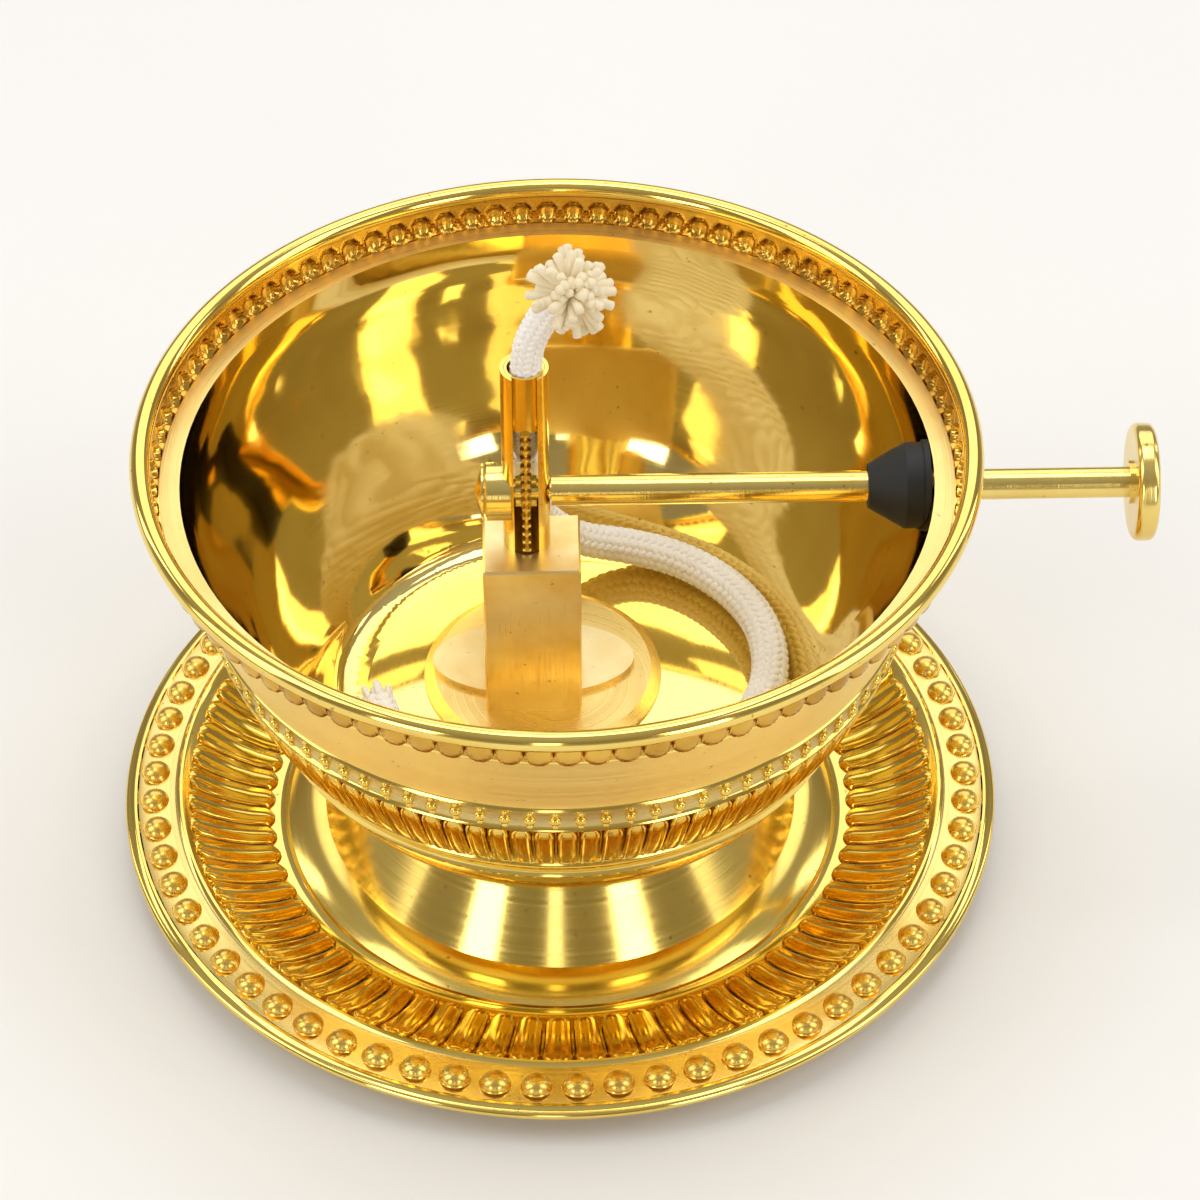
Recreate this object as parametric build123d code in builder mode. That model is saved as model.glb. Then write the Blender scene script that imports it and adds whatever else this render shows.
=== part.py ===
"""Brass oil lamp on a drip plate, with a rack-and-pinion wick lifter.

Millimetres, +Z up. The origin is on the lamp's centre line, at the table.
The burner stands off the centre line and is turned a little, so its pieces are
placed from the plane named burner, whose X runs along the drive shaft.
"""
from build123d import *
import math
import os

os.makedirs("parts", exist_ok=True)

# ---- driving dimensions: shells ------------------------------------------------
SHEET = 1.0                 # wall of every spun shell
PLATE_RADIUS = 110.0        # drip plate, to the outside of its lip
PLATE_LIP_HEIGHT = 8.9
PLATE_LIP_ROLL = 1.1        # radius of the small roll round the lip
FLANGE_RADIUS = 95.8        # inner edge of the plate's sloping flange
FLANGE_HEIGHT = 12.3
WELL_RADIUS = 70.6          # floor of the plate's well
PAD_RADIUS = 16.0           # raised pad in the middle of the plate, over the nut
PAD_HEIGHT = 8.0
WELL_BOW = 0.0966           # bow of the well's wall, as a share of its chord

FOOT_RADIUS = 70.0
FOOT_EDGE_RADIUS = 59.6     # bright edge between the band and the cone
FOOT_EDGE_HEIGHT = 4.8
BAND_BOW = 0.0532
NECK_RADIUS = 48.5
NECK_HEIGHT = 20.4          # top of the foot's cone
NECK_EDGE = 1.5             # width of the sloping edge at the top of the cone
NECK_EDGE_HEIGHT = 0.6
COLLAR_HEIGHT = 1.6

BOWL_BASE_RADIUS = 45.0     # flat bottom of the outer bowl
BOWL_RING_RADIUS = 71.4     # ring line under the flutes
BOWL_RING_HEIGHT = 50.9
UNDERSIDE_BOW = 0.095
FLUTE_LOW_RADIUS = 73.6
FLUTE_LOW_HEIGHT = 56.9
FLUTE_TOP_RADIUS = 83.3
FLUTE_TOP_HEIGHT = 79.1
FLUTE_BOW = 0.034
BAND_LOW_RADIUS = 84.5      # lower edge of the plain band
BAND_LOW_HEIGHT = 87.0
BAND_TOP_RADIUS = 94.6
BAND_TOP_HEIGHT = 112.0
RIM_RADIUS = 100.0          # outside of the rolled rim
RIM_ROLL = 2.4              # radius of the roll
RIM_HEIGHT = 122.4          # height of the roll's centre
RIM_WIRE = 1.45             # radius of the stiffening wire inside the roll
RIM_SETBACK = 0.72          # wall's outside, inward of the roll's centre

LINER_MOUTH_RADIUS = 88.9
LINER_MOUTH_HEIGHT = 114.3
LINER_AT_SHAFT = 88.0       # liner's inner radius where the shaft goes through
LINER_SHAFT_HEIGHT = 104.9
LINER_WAIST_RADIUS = 81.6
LINER_WAIST_HEIGHT = 86.4
LINER_LOW_RADIUS = 70.0
LINER_LOW_HEIGHT = 61.9
LINER_HEEL_RADIUS = 57.5    # where the wall turns into the floor
LINER_HEEL_HEIGHT = 45.1
LINER_FLOOR_RADIUS = 48.0
LINER_FLOOR_HEIGHT = 40.7   # top of the liner's floor
SEAT_GAP = 0.17625          # between the liner's flange and the outer bowl

# ---- driving dimensions: burner stand ------------------------------------------
BURNER_X = -7.5             # axis of the wick tube
BURNER_Y = 2.9
BURNER_YAW = 1.3            # degrees
BASE_RADIUS = 26.9
BASE_FLARE = 2.6            # how much wider the base disc is at its foot
BASE_THICKNESS = 2.4
BASE_BACK = 3.1             # base disc's centre, behind the tube axis
BASE_SIDE = 3.4
FLANGE_PLATE_LENGTH = 50.0
FLANGE_PLATE_WIDTH = 26.0
FLANGE_PLATE_THICKNESS = 1.6
FLANGE_PLATE_BACK = 5.0
BLOCK_WIDTH = 23.5
BLOCK_DEPTH = 20.6
BLOCK_HEIGHT = 46.5
BLOCK_FRONT = 12.2          # block's front face, ahead of the tube axis
BLOCK_SIDE = 1.1
BLOCK_EDGE = 0.5
SCREW_RADIUS = 2.0
SCREW_LENGTH = 14.0
SCREW_HEAD_RADIUS = 3.5
SCREW_HEAD_HEIGHT = 2.4
SCREW_SPREAD = 12.0

# ---- driving dimensions: wick tube and lifter ----------------------------------
WICK_RADIUS = 3.9           # where the sleeve grips it
WICK_GAP = 0.2              # round the wick inside the sleeve
SLEEVE_WALL = 0.6
SLIDE_GAP = 0.1             # sleeve in tube, on the radius
TUBE_WALL = 0.9
TUBE_SOCKET = 8.0           # depth of the tube in the block
TUBE_STAND_OUT = 53.9       # length of the tube above the block
SLOT_WIDTH = 5.8
WINDOW_GAP = 0.6            # beside the wick, where it leaves the tube at the back
WINDOW_LOW = 0.4            # the opening's edges, above the shaft's axis
WINDOW_HIGH = 16.0
SLEEVE_LENGTH = 16.3
LIFT = 12.0                 # travel of the wick

SHAFT_ABOVE_BLOCK = 15.3
TEETH = 8
TOOTH_PITCH = 2.6
TOOTH_ADDENDUM = 0.35
TOOTH_DEDENDUM = 0.45
TOOTH_BACKLASH = 0.26
FLANK_ANGLE = 20.0
MESH_GAP = 0.05
PINION_WIDTH = 5.0
RACK_RADIUS = 1.3
RACK_FOOT_GAP = 0.7         # above the block at rest

SHAFT_RADIUS = 3.7
JOURNAL_RADIUS = 2.0        # the thin end that runs through the tube
RUNNING_GAP = 0.05          # on the radius
END_PLAY = 0.3
BOSS_RADIUS = 7.0
BOSS_LEFT = 9.8             # outer face of the boss, from the tube axis
BOSS_RIGHT = 3.6            # inner end of the boss, from the tube axis
CAP_RADIUS = 6.6
CAP_RIM = 0.5
CAP_CONE = 1.5

# ---- driving dimensions: wall bush, boot and knob ------------------------------
BUSH_RADIUS = 5.2
BUSH_INSIDE = 5.0           # length of the bush inside the liner
BUSH_NUT_FLATS = 15.0
SADDLE_RADIUS = 8.6         # spacer with a face cut to the bowl's slope
SADDLE_THICKNESS = 4.4
SADDLE_GAP = 0.05
BUSH_NUT_THICKNESS = 3.2
HOLE_GAP = 0.3              # round the bush in both walls
BOOT_TIP_RADIUS = 5.3
BOOT_CONE = 8.6
BOOT_RADIUS = 10.3
BOOT_BODY = 4.3
BOOT_FLANGE = 1.4
BOOT_FLANGE_RADIUS = 10.9
BOOT_GAP = 0.3              # round the turning shaft
BOOT_SEAT_GAP = 0.15        # to the liner's wall
KNOB_RADIUS = 14.1
KNOB_THICKNESS = 5.2
KNOB_REACH = 144.3          # knob's inner face, from the tube axis
KNOB_ROUND = 1.6
KNOB_HUB_RADIUS = 5.2
KNOB_HUB = 0.8
SPIGOT_RADIUS = 2.6
KNOB_SCREW_RADIUS = 1.4
KNOB_SCREW_HEAD = 3.0
FIT_GAP = 0.02              # pressed and screwed pieces, on the radius

# ---- driving dimensions: centre stud -------------------------------------------
STUD_RADIUS = 3.0
STUD_GAP = 0.1
STUD_FOOT = 1.6             # lower end of the stud, above the table
NUT_FLATS = 10.0
NUT_THICKNESS = 4.6
WASHER_RADIUS = 9.0
WASHER_THICKNESS = 1.2
STUD_TAIL = 2.0             # stud standing out of the upper nut

# ---- driving dimensions: wick --------------------------------------------------
CORE_SQUEEZE = 0.5          # how much thinner the wick is past the rack, on the radius
CORE_GAP = 0.3              # to the back of the tube
TAIL_RADIUS = 4.8           # the loose braid
TUFT_RADIUS = 10.6
TUFT_BACK = 3.5             # from its widest section to its back
TUFT_SHOULDER = 3.2         # heights of its sections in front of the widest
TUFT_CROWN = 5.6
TUFT_BEND = 27.5            # height of the tuft's middle above the tube
FRAY_LENGTH = 7.0

# ---- worked-out levels and radii -----------------------------------------------
sleeve_inner = WICK_RADIUS + WICK_GAP
sleeve_outer = sleeve_inner + SLEEVE_WALL
tube_inner = sleeve_outer + SLIDE_GAP
tube_outer = tube_inner + TUBE_WALL
core_radius = WICK_RADIUS - CORE_SQUEEZE
core_back = tube_inner - core_radius - CORE_GAP
base_top = LINER_FLOOR_HEIGHT + BASE_THICKNESS
block_top = base_top + BLOCK_HEIGHT
tube_bottom = block_top - TUBE_SOCKET
tube_top = block_top + TUBE_STAND_OUT
shaft_height = block_top + SHAFT_ABOVE_BLOCK
sleeve_bottom = tube_top - SLEEVE_LENGTH
foot_top = NECK_HEIGHT + NECK_EDGE_HEIGHT
bowl_bottom = foot_top + COLLAR_HEIGHT

burner = Plane(
    origin=(BURNER_X, BURNER_Y, 0),
    x_dir=(math.cos(math.radians(BURNER_YAW)), math.sin(math.radians(BURNER_YAW)), 0),
    z_dir=(0, 0, 1),
)


def shaft_plane(along, up=shaft_height):
    """Plane square to the drive shaft, its origin on the shaft and its Y upwards."""
    return Plane(
        origin=burner.from_local_coords((along, 0, up)),
        x_dir=burner.y_dir,
        z_dir=burner.x_dir,
    )


def reach(radius):
    """Distance along the shaft from the tube axis to a wall of this radius."""
    sideways = BURNER_Y + math.sin(math.radians(BURNER_YAW)) * radius
    return math.sqrt(radius ** 2 - sideways ** 2) - BURNER_X


def band_radius(height):
    """Outside radius of the outer bowl's plain band at a height."""
    share = (height - BAND_LOW_HEIGHT) / (BAND_TOP_HEIGHT - BAND_LOW_HEIGHT)
    return BAND_LOW_RADIUS + share * (BAND_TOP_RADIUS - BAND_LOW_RADIUS)


def bowed(start, end, share):
    """Middle of the arc from start to end, which stands off its chord by a share of it."""
    across = end[0] - start[0]
    up = end[1] - start[1]
    return (start[0] + across / 2 + share * up, start[1] + up / 2 - share * across)


def finish(part, name):
    part.label = name
    export_step(part, "parts/" + name + ".step")


# ---- drip plate ----------------------------------------------------------------
with BuildPart() as drip_plate:
    with BuildSketch(Plane.XZ):
        with BuildLine():
            Polyline(
                (STUD_RADIUS + STUD_GAP, PAD_HEIGHT),
                (PAD_RADIUS, PAD_HEIGHT),
                (PAD_RADIUS + PAD_HEIGHT - SHEET, SHEET),
                (WELL_RADIUS, SHEET),
            )
            well_foot = (WELL_RADIUS, SHEET)
            well_top = (FLANGE_RADIUS, FLANGE_HEIGHT)
            well = ThreePointArc(well_foot, bowed(well_foot, well_top, WELL_BOW), well_top)
            Line(well @ 1, (PLATE_RADIUS - PLATE_LIP_ROLL, PLATE_LIP_HEIGHT + PLATE_LIP_ROLL))
            offset(amount=SHEET, side=Side.RIGHT)
        make_face()
        with Locations((PLATE_RADIUS - PLATE_LIP_ROLL, PLATE_LIP_HEIGHT)):
            Circle(PLATE_LIP_ROLL)
    revolve(axis=Axis.Z)
finish(drip_plate.part, "drip_plate")

# ---- foot and collar -----------------------------------------------------------
with BuildPart() as foot:
    with BuildSketch(Plane.XZ):
        with BuildLine():
            band_foot = (FOOT_RADIUS, SHEET)
            band_top = (FOOT_EDGE_RADIUS, FOOT_EDGE_HEIGHT)
            band = ThreePointArc(band_foot, bowed(band_foot, band_top, BAND_BOW), band_top)
            Polyline(
                band @ 1,
                (NECK_RADIUS, NECK_HEIGHT),
                (NECK_RADIUS - NECK_EDGE, foot_top),
                (STUD_RADIUS + STUD_GAP, foot_top),
            )
            offset(amount=SHEET, side=Side.LEFT)
        make_face()
        with Locations((0, 0)):
            Rectangle(4 * FOOT_RADIUS, 2 * SHEET, mode=Mode.SUBTRACT)
    revolve(axis=Axis.Z)
finish(foot.part, "foot")

with BuildPart() as neck_collar:
    with BuildSketch(Plane.XY.offset(foot_top)):
        Circle(NECK_RADIUS)
        Circle(STUD_RADIUS + STUD_GAP, mode=Mode.SUBTRACT)
    extrude(amount=COLLAR_HEIGHT)
    outer_edges = neck_collar.edges().filter_by(GeomType.CIRCLE).group_by(SortBy.RADIUS)[-1]
    fillet(outer_edges, 0.45 * COLLAR_HEIGHT)
finish(neck_collar.part, "neck_collar")

# ---- outer bowl and its rim wire -----------------------------------------------
rim_centre = RIM_RADIUS - RIM_ROLL
shaft_hole = BUSH_RADIUS + HOLE_GAP

with BuildPart() as outer_bowl:
    with BuildSketch(Plane.XZ):
        with BuildLine():
            base_edge = (BOWL_BASE_RADIUS, bowl_bottom)
            ring = (BOWL_RING_RADIUS, BOWL_RING_HEIGHT)
            flute_low = (FLUTE_LOW_RADIUS, FLUTE_LOW_HEIGHT)
            flute_top = (FLUTE_TOP_RADIUS, FLUTE_TOP_HEIGHT)
            Line((STUD_RADIUS + STUD_GAP, bowl_bottom), base_edge)
            ThreePointArc(base_edge, bowed(base_edge, ring, UNDERSIDE_BOW), ring)
            Line(ring, flute_low)
            ThreePointArc(flute_low, bowed(flute_low, flute_top, FLUTE_BOW), flute_top)
            Polyline(
                flute_top,
                (BAND_LOW_RADIUS, BAND_LOW_HEIGHT),
                (BAND_TOP_RADIUS, BAND_TOP_HEIGHT),
                (rim_centre - RIM_SETBACK, RIM_HEIGHT),
            )
            offset(amount=SHEET, side=Side.LEFT)
        make_face()
        with Locations((rim_centre, RIM_HEIGHT)):
            Circle(RIM_ROLL)
            Circle(RIM_WIRE + FIT_GAP, mode=Mode.SUBTRACT)
    revolve(axis=Axis.Z)
    with BuildSketch(shaft_plane(BURNER_Y)):
        Circle(shaft_hole)
    extrude(amount=2 * RIM_RADIUS, mode=Mode.SUBTRACT)
finish(outer_bowl.part, "outer_bowl")

with BuildPart() as rim_wire:
    with BuildSketch(Plane.XZ):
        with Locations((rim_centre, RIM_HEIGHT)):
            Circle(RIM_WIRE)
    revolve(axis=Axis.Z)
finish(rim_wire.part, "rim_wire")

# ---- inner bowl ----------------------------------------------------------------
flange_under = LINER_MOUTH_HEIGHT - SHEET
seat_share = (flange_under - BAND_TOP_HEIGHT) / (RIM_HEIGHT - BAND_TOP_HEIGHT)
flare = rim_centre - RIM_SETBACK - BAND_TOP_RADIUS
seat_radius = BAND_TOP_RADIUS + seat_share * flare
wall_across = SHEET * math.hypot(1, flare / (RIM_HEIGHT - BAND_TOP_HEIGHT))
liner_flange = seat_radius - wall_across - SEAT_GAP


def liner_curve(outward):
    """The liner's wall from mouth to floor, moved outward; call it inside a BuildLine."""
    return Spline(
        (LINER_MOUTH_RADIUS + outward, LINER_MOUTH_HEIGHT),
        (LINER_AT_SHAFT + outward, LINER_SHAFT_HEIGHT),
        (LINER_WAIST_RADIUS + 0.95 * outward, LINER_WAIST_HEIGHT - 0.3 * outward),
        (LINER_LOW_RADIUS + 0.85 * outward, LINER_LOW_HEIGHT - 0.5 * outward),
        (LINER_HEEL_RADIUS + 0.5 * outward, LINER_HEEL_HEIGHT - 0.85 * outward),
        (LINER_FLOOR_RADIUS, LINER_FLOOR_HEIGHT - outward),
        tangents=((-0.02, -1), (-1, 0)),
    )


with BuildPart() as inner_bowl:
    with BuildSketch(Plane.XZ):
        with BuildLine():
            inside = liner_curve(0)
            outside = liner_curve(SHEET)
            Polyline(inside @ 1, (0, LINER_FLOOR_HEIGHT), (0, LINER_FLOOR_HEIGHT - SHEET), outside @ 1)
            Line(inside @ 0, outside @ 0)
        make_face()
        with BuildLine():
            Polyline(
                inside @ 0,
                (liner_flange, LINER_MOUTH_HEIGHT),
                (liner_flange, flange_under),
                (LINER_MOUTH_RADIUS, flange_under),
                close=True,
            )
        make_face()
    revolve(axis=Axis.Z)
    with BuildSketch(shaft_plane(BURNER_Y)):
        Circle(shaft_hole)
    extrude(amount=2 * RIM_RADIUS, mode=Mode.SUBTRACT)
    with BuildSketch(burner.offset(LINER_FLOOR_HEIGHT - 2 * SHEET)):
        with Locations((BLOCK_SIDE, 0)):
            with GridLocations(SCREW_SPREAD, 0, 2, 1):
                Circle(SCREW_RADIUS + STUD_GAP)
    extrude(amount=3 * SHEET, mode=Mode.SUBTRACT)
finish(inner_bowl.part, "inner_bowl")

# ---- centre stud, nuts and washers ---------------------------------------------
upper_washer_bottom = bowl_bottom + SHEET
upper_nut_bottom = upper_washer_bottom + WASHER_THICKNESS
stud_top = upper_nut_bottom + NUT_THICKNESS + STUD_TAIL
lower_washer_top = PAD_HEIGHT - SHEET

with BuildPart() as centre_stud:
    with BuildSketch(Plane.XY.offset(STUD_FOOT)):
        Circle(STUD_RADIUS)
    extrude(amount=stud_top - STUD_FOOT)
    chamfer(centre_stud.edges().filter_by(GeomType.CIRCLE), 0.4)
finish(centre_stud.part, "centre_stud")

lower_nut_top = lower_washer_top - WASHER_THICKNESS

with BuildPart() as stud_washers:
    with BuildSketch(Plane.XY.offset(upper_washer_bottom), Plane.XY.offset(lower_nut_top)):
        Circle(WASHER_RADIUS)
        Circle(STUD_RADIUS + STUD_GAP, mode=Mode.SUBTRACT)
    extrude(amount=WASHER_THICKNESS)
finish(stud_washers.part, "stud_washers")

with BuildPart() as upper_nut:
    with BuildSketch(Plane.XY.offset(upper_nut_bottom)):
        RegularPolygon(NUT_FLATS / 2, 6, major_radius=False)
        Circle(STUD_RADIUS + FIT_GAP, mode=Mode.SUBTRACT)
    extrude(amount=NUT_THICKNESS)
finish(upper_nut.part, "upper_nut")

with BuildPart() as lower_nut:
    with BuildSketch(Plane.XY.offset(lower_nut_top)):
        RegularPolygon(NUT_FLATS / 2, 6, major_radius=False)
        Circle(STUD_RADIUS + FIT_GAP, mode=Mode.SUBTRACT)
    extrude(amount=STUD_FOOT - lower_nut_top)
finish(lower_nut.part, "lower_nut")

# ---- burner stand --------------------------------------------------------------
with BuildPart() as stand_base:
    with BuildSketch(burner.offset(LINER_FLOOR_HEIGHT)):
        with Locations((BASE_SIDE, BASE_BACK)):
            Circle(BASE_RADIUS + BASE_FLARE)
    extrude(amount=0.25 * BASE_THICKNESS)
    with BuildSketch(burner.offset(LINER_FLOOR_HEIGHT + 0.25 * BASE_THICKNESS)):
        with Locations((BASE_SIDE, BASE_BACK)):
            Circle(BASE_RADIUS + BASE_FLARE)
    with BuildSketch(burner.offset(base_top)):
        with Locations((BASE_SIDE, BASE_BACK)):
            Circle(BASE_RADIUS)
    loft()
    with BuildSketch(burner.offset(LINER_FLOOR_HEIGHT)):
        with Locations((BLOCK_SIDE, 0)):
            with GridLocations(SCREW_SPREAD, 0, 2, 1):
                Circle(SCREW_RADIUS + STUD_GAP)
    extrude(amount=BASE_THICKNESS, mode=Mode.SUBTRACT)
finish(stand_base.part, "stand_base")

block_centre = BLOCK_DEPTH / 2 - BLOCK_FRONT

with BuildPart() as stand_flange:
    with BuildSketch(burner.offset(base_top)):
        with Locations((BLOCK_SIDE, FLANGE_PLATE_BACK)):
            Ellipse(FLANGE_PLATE_LENGTH / 2, FLANGE_PLATE_WIDTH / 2)
        with Locations((BLOCK_SIDE, block_centre - BLOCK_DEPTH / 4)):
            Rectangle(BLOCK_WIDTH + 2 * FIT_GAP, 1.5 * BLOCK_DEPTH + 2 * FIT_GAP, mode=Mode.SUBTRACT)
    extrude(amount=FLANGE_PLATE_THICKNESS)
finish(stand_flange.part, "stand_flange")

with BuildPart() as stand_block:
    with BuildSketch(burner.offset(base_top)):
        with Locations((BLOCK_SIDE, block_centre)):
            Rectangle(BLOCK_WIDTH, BLOCK_DEPTH)
    extrude(amount=BLOCK_HEIGHT)
    upright = stand_block.edges().filter_by(Axis.Z)
    top_edges = stand_block.faces().sort_by(Axis.Z)[-1].edges()
    chamfer(upright + top_edges, BLOCK_EDGE)
    with BuildSketch(burner.offset(tube_bottom)):
        Circle(tube_outer + FIT_GAP)
    extrude(amount=2 * TUBE_SOCKET, mode=Mode.SUBTRACT)
    with BuildSketch(burner.offset(base_top)):
        with Locations((BLOCK_SIDE, 0)):
            with GridLocations(SCREW_SPREAD, 0, 2, 1):
                Circle(SCREW_RADIUS + FIT_GAP)
    extrude(amount=SCREW_LENGTH, mode=Mode.SUBTRACT)
finish(stand_block.part, "stand_block")

with BuildPart() as stand_screws:
    with BuildSketch(burner.offset(LINER_FLOOR_HEIGHT - SHEET)):
        with Locations((BLOCK_SIDE, 0)):
            with GridLocations(SCREW_SPREAD, 0, 2, 1):
                Circle(SCREW_HEAD_RADIUS)
    extrude(amount=-SCREW_HEAD_HEIGHT)
    with BuildSketch(burner.offset(LINER_FLOOR_HEIGHT - SHEET)):
        with Locations((BLOCK_SIDE, 0)):
            with GridLocations(SCREW_SPREAD, 0, 2, 1):
                Circle(SCREW_RADIUS)
    extrude(amount=SCREW_LENGTH)
finish(stand_screws.part, "stand_screws")

# ---- wick tube -----------------------------------------------------------------
with BuildPart() as wick_tube:
    with BuildSketch(burner.offset(tube_bottom)):
        Circle(tube_outer)
        Circle(tube_inner, mode=Mode.SUBTRACT)
    extrude(amount=tube_top - tube_bottom)
    with BuildSketch(burner.offset(block_top)):
        with Locations((0, -tube_outer)):
            Rectangle(SLOT_WIDTH, 2 * tube_outer)
    extrude(amount=TUBE_STAND_OUT, mode=Mode.SUBTRACT)
    with BuildSketch(burner.offset(shaft_height + WINDOW_LOW)):
        with Locations((0, tube_outer)):
            Rectangle(2 * (core_radius + WINDOW_GAP), 2 * tube_outer)
    extrude(amount=WINDOW_HIGH - WINDOW_LOW, mode=Mode.SUBTRACT)
    with BuildSketch(shaft_plane(-2 * tube_outer)):
        Circle(JOURNAL_RADIUS + RUNNING_GAP)
    extrude(amount=4 * tube_outer, mode=Mode.SUBTRACT)
finish(wick_tube.part, "wick_tube")

# ---- lifter: sleeve and rack ---------------------------------------------------
with BuildPart() as wick_sleeve:
    with BuildSketch(burner.offset(sleeve_bottom)):
        Circle(sleeve_outer)
        Circle(sleeve_inner, mode=Mode.SUBTRACT)
    extrude(amount=SLEEVE_LENGTH)
finish(wick_sleeve.part, "wick_sleeve")

pitch_radius = TEETH * TOOTH_PITCH / (2 * math.pi)
rack_front = pitch_radius + MESH_GAP - TOOTH_ADDENDUM + RACK_RADIUS
rack_bottom = block_top + RACK_FOOT_GAP
tooth_depth = TOOTH_ADDENDUM + TOOTH_DEDENDUM
lean = math.tan(math.radians(FLANK_ANGLE))
half_tooth = (TOOTH_PITCH / 2 - TOOTH_BACKLASH) / 2
half_groove = TOOTH_PITCH / 2 - half_tooth
rack_origin = burner.from_local_coords((0, -rack_front, 0))
rack_profile = Plane(origin=rack_origin, x_dir=burner.x_dir, z_dir=-burner.y_dir)
rack_axis = Axis(rack_origin, (0, 0, 1))
grooves_down = int((shaft_height - rack_bottom - half_groove) / TOOTH_PITCH)
grooves_up = int((sleeve_bottom - shaft_height - half_groove) / TOOTH_PITCH)

with BuildPart() as rack:
    with BuildSketch(Plane(origin=rack_origin, x_dir=burner.x_dir, z_dir=(0, 0, 1)).offset(rack_bottom)):
        Circle(RACK_RADIUS)
    extrude(amount=sleeve_bottom - rack_bottom)
    with BuildSketch(rack_profile):
        for step in range(-grooves_down, grooves_up + 1):
            middle = shaft_height + step * TOOTH_PITCH
            mouth = half_groove + TOOTH_ADDENDUM * lean
            root = half_groove - TOOTH_DEDENDUM * lean
            with BuildLine():
                Polyline(
                    (RACK_RADIUS - tooth_depth, middle - root),
                    (RACK_RADIUS, middle - mouth),
                    (RACK_RADIUS + 0.5, middle - mouth),
                    (RACK_RADIUS + 0.5, middle + mouth),
                    (RACK_RADIUS, middle + mouth),
                    (RACK_RADIUS - tooth_depth, middle + root),
                    close=True,
                )
            make_face()
    revolve(axis=rack_axis, mode=Mode.SUBTRACT)
finish(rack.part, "rack")

# ---- pinion, drive shaft and its bearings --------------------------------------
with BuildPart() as pinion:
    with BuildSketch(shaft_plane(-PINION_WIDTH / 2)):
        Circle(pitch_radius - TOOTH_DEDENDUM)
        with PolarLocations(0, TEETH):
            Polygon(
                (pitch_radius - TOOTH_DEDENDUM - 0.3, -half_tooth - (TOOTH_DEDENDUM + 0.3) * lean),
                (pitch_radius + TOOTH_ADDENDUM, -half_tooth + TOOTH_ADDENDUM * lean),
                (pitch_radius + TOOTH_ADDENDUM, half_tooth - TOOTH_ADDENDUM * lean),
                (pitch_radius - TOOTH_DEDENDUM - 0.3, half_tooth + (TOOTH_DEDENDUM + 0.3) * lean),
                align=None,
            )
        Circle(JOURNAL_RADIUS + FIT_GAP, mode=Mode.SUBTRACT)
    extrude(amount=PINION_WIDTH)
finish(pinion.part, "pinion")

shoulder = tube_outer + END_PLAY
journal_end = -BOSS_LEFT - END_PLAY - CAP_RIM - 0.5 * CAP_CONE
knob_outer = KNOB_REACH + KNOB_THICKNESS

with BuildPart() as drive_shaft:
    with BuildSketch(shaft_plane(journal_end)):
        Circle(JOURNAL_RADIUS)
    extrude(amount=shoulder - journal_end)
    with BuildSketch(shaft_plane(shoulder)):
        Circle(SHAFT_RADIUS)
    extrude(amount=KNOB_REACH - KNOB_HUB - shoulder)
    with BuildSketch(shaft_plane(KNOB_REACH - KNOB_HUB)):
        Circle(SPIGOT_RADIUS)
    extrude(amount=0.6 * KNOB_THICKNESS + KNOB_HUB)
    with BuildSketch(shaft_plane(KNOB_REACH - KNOB_THICKNESS)):
        Circle(KNOB_SCREW_RADIUS + FIT_GAP)
    extrude(amount=2 * KNOB_THICKNESS, mode=Mode.SUBTRACT)
finish(drive_shaft.part, "drive_shaft")

with BuildPart() as bearing_boss:
    with BuildSketch(shaft_plane(-BOSS_LEFT)):
        Circle(BOSS_RADIUS)
        Circle(JOURNAL_RADIUS + RUNNING_GAP, mode=Mode.SUBTRACT)
    extrude(amount=BOSS_LEFT - BOSS_RIGHT)
    with BuildSketch(burner.offset(shaft_height - 2 * BOSS_RADIUS)):
        Circle(tube_outer + FIT_GAP)
    extrude(amount=4 * BOSS_RADIUS, mode=Mode.SUBTRACT)
    left_face = bearing_boss.faces().sort_by(burner.location.x_axis)[0]
    chamfer(left_face.edges().filter_by(GeomType.CIRCLE).sort_by(SortBy.RADIUS)[-1], 0.4)
finish(bearing_boss.part, "bearing_boss")

cap_face = -BOSS_LEFT - END_PLAY

with BuildPart() as end_cap:
    with BuildSketch(shaft_plane(cap_face - CAP_RIM)):
        Circle(CAP_RADIUS)
    extrude(amount=CAP_RIM)
    with BuildSketch(shaft_plane(cap_face - CAP_RIM)):
        Circle(CAP_RADIUS)
    with BuildSketch(shaft_plane(cap_face - CAP_RIM - CAP_CONE)):
        Circle(0.18 * CAP_RADIUS)
    loft()
    with BuildSketch(shaft_plane(journal_end - FIT_GAP)):
        Circle(JOURNAL_RADIUS + FIT_GAP)
    extrude(amount=2 * CAP_CONE, mode=Mode.SUBTRACT)
finish(end_cap.part, "end_cap")

# ---- wall bush, seal and rubber boot -------------------------------------------
liner_wall = reach(LINER_AT_SHAFT)
bowl_wall = reach(band_radius(shaft_height))
bush_start = liner_wall - BUSH_INSIDE
nut_start = bowl_wall + SADDLE_THICKNESS
bush_end = nut_start + BUSH_NUT_THICKNESS + 1.0

with BuildPart() as wall_bush:
    with BuildSketch(shaft_plane(bush_start)):
        Circle(BUSH_RADIUS)
        Circle(SHAFT_RADIUS + RUNNING_GAP, mode=Mode.SUBTRACT)
    extrude(amount=bush_end - bush_start)
finish(wall_bush.part, "wall_bush")

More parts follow.
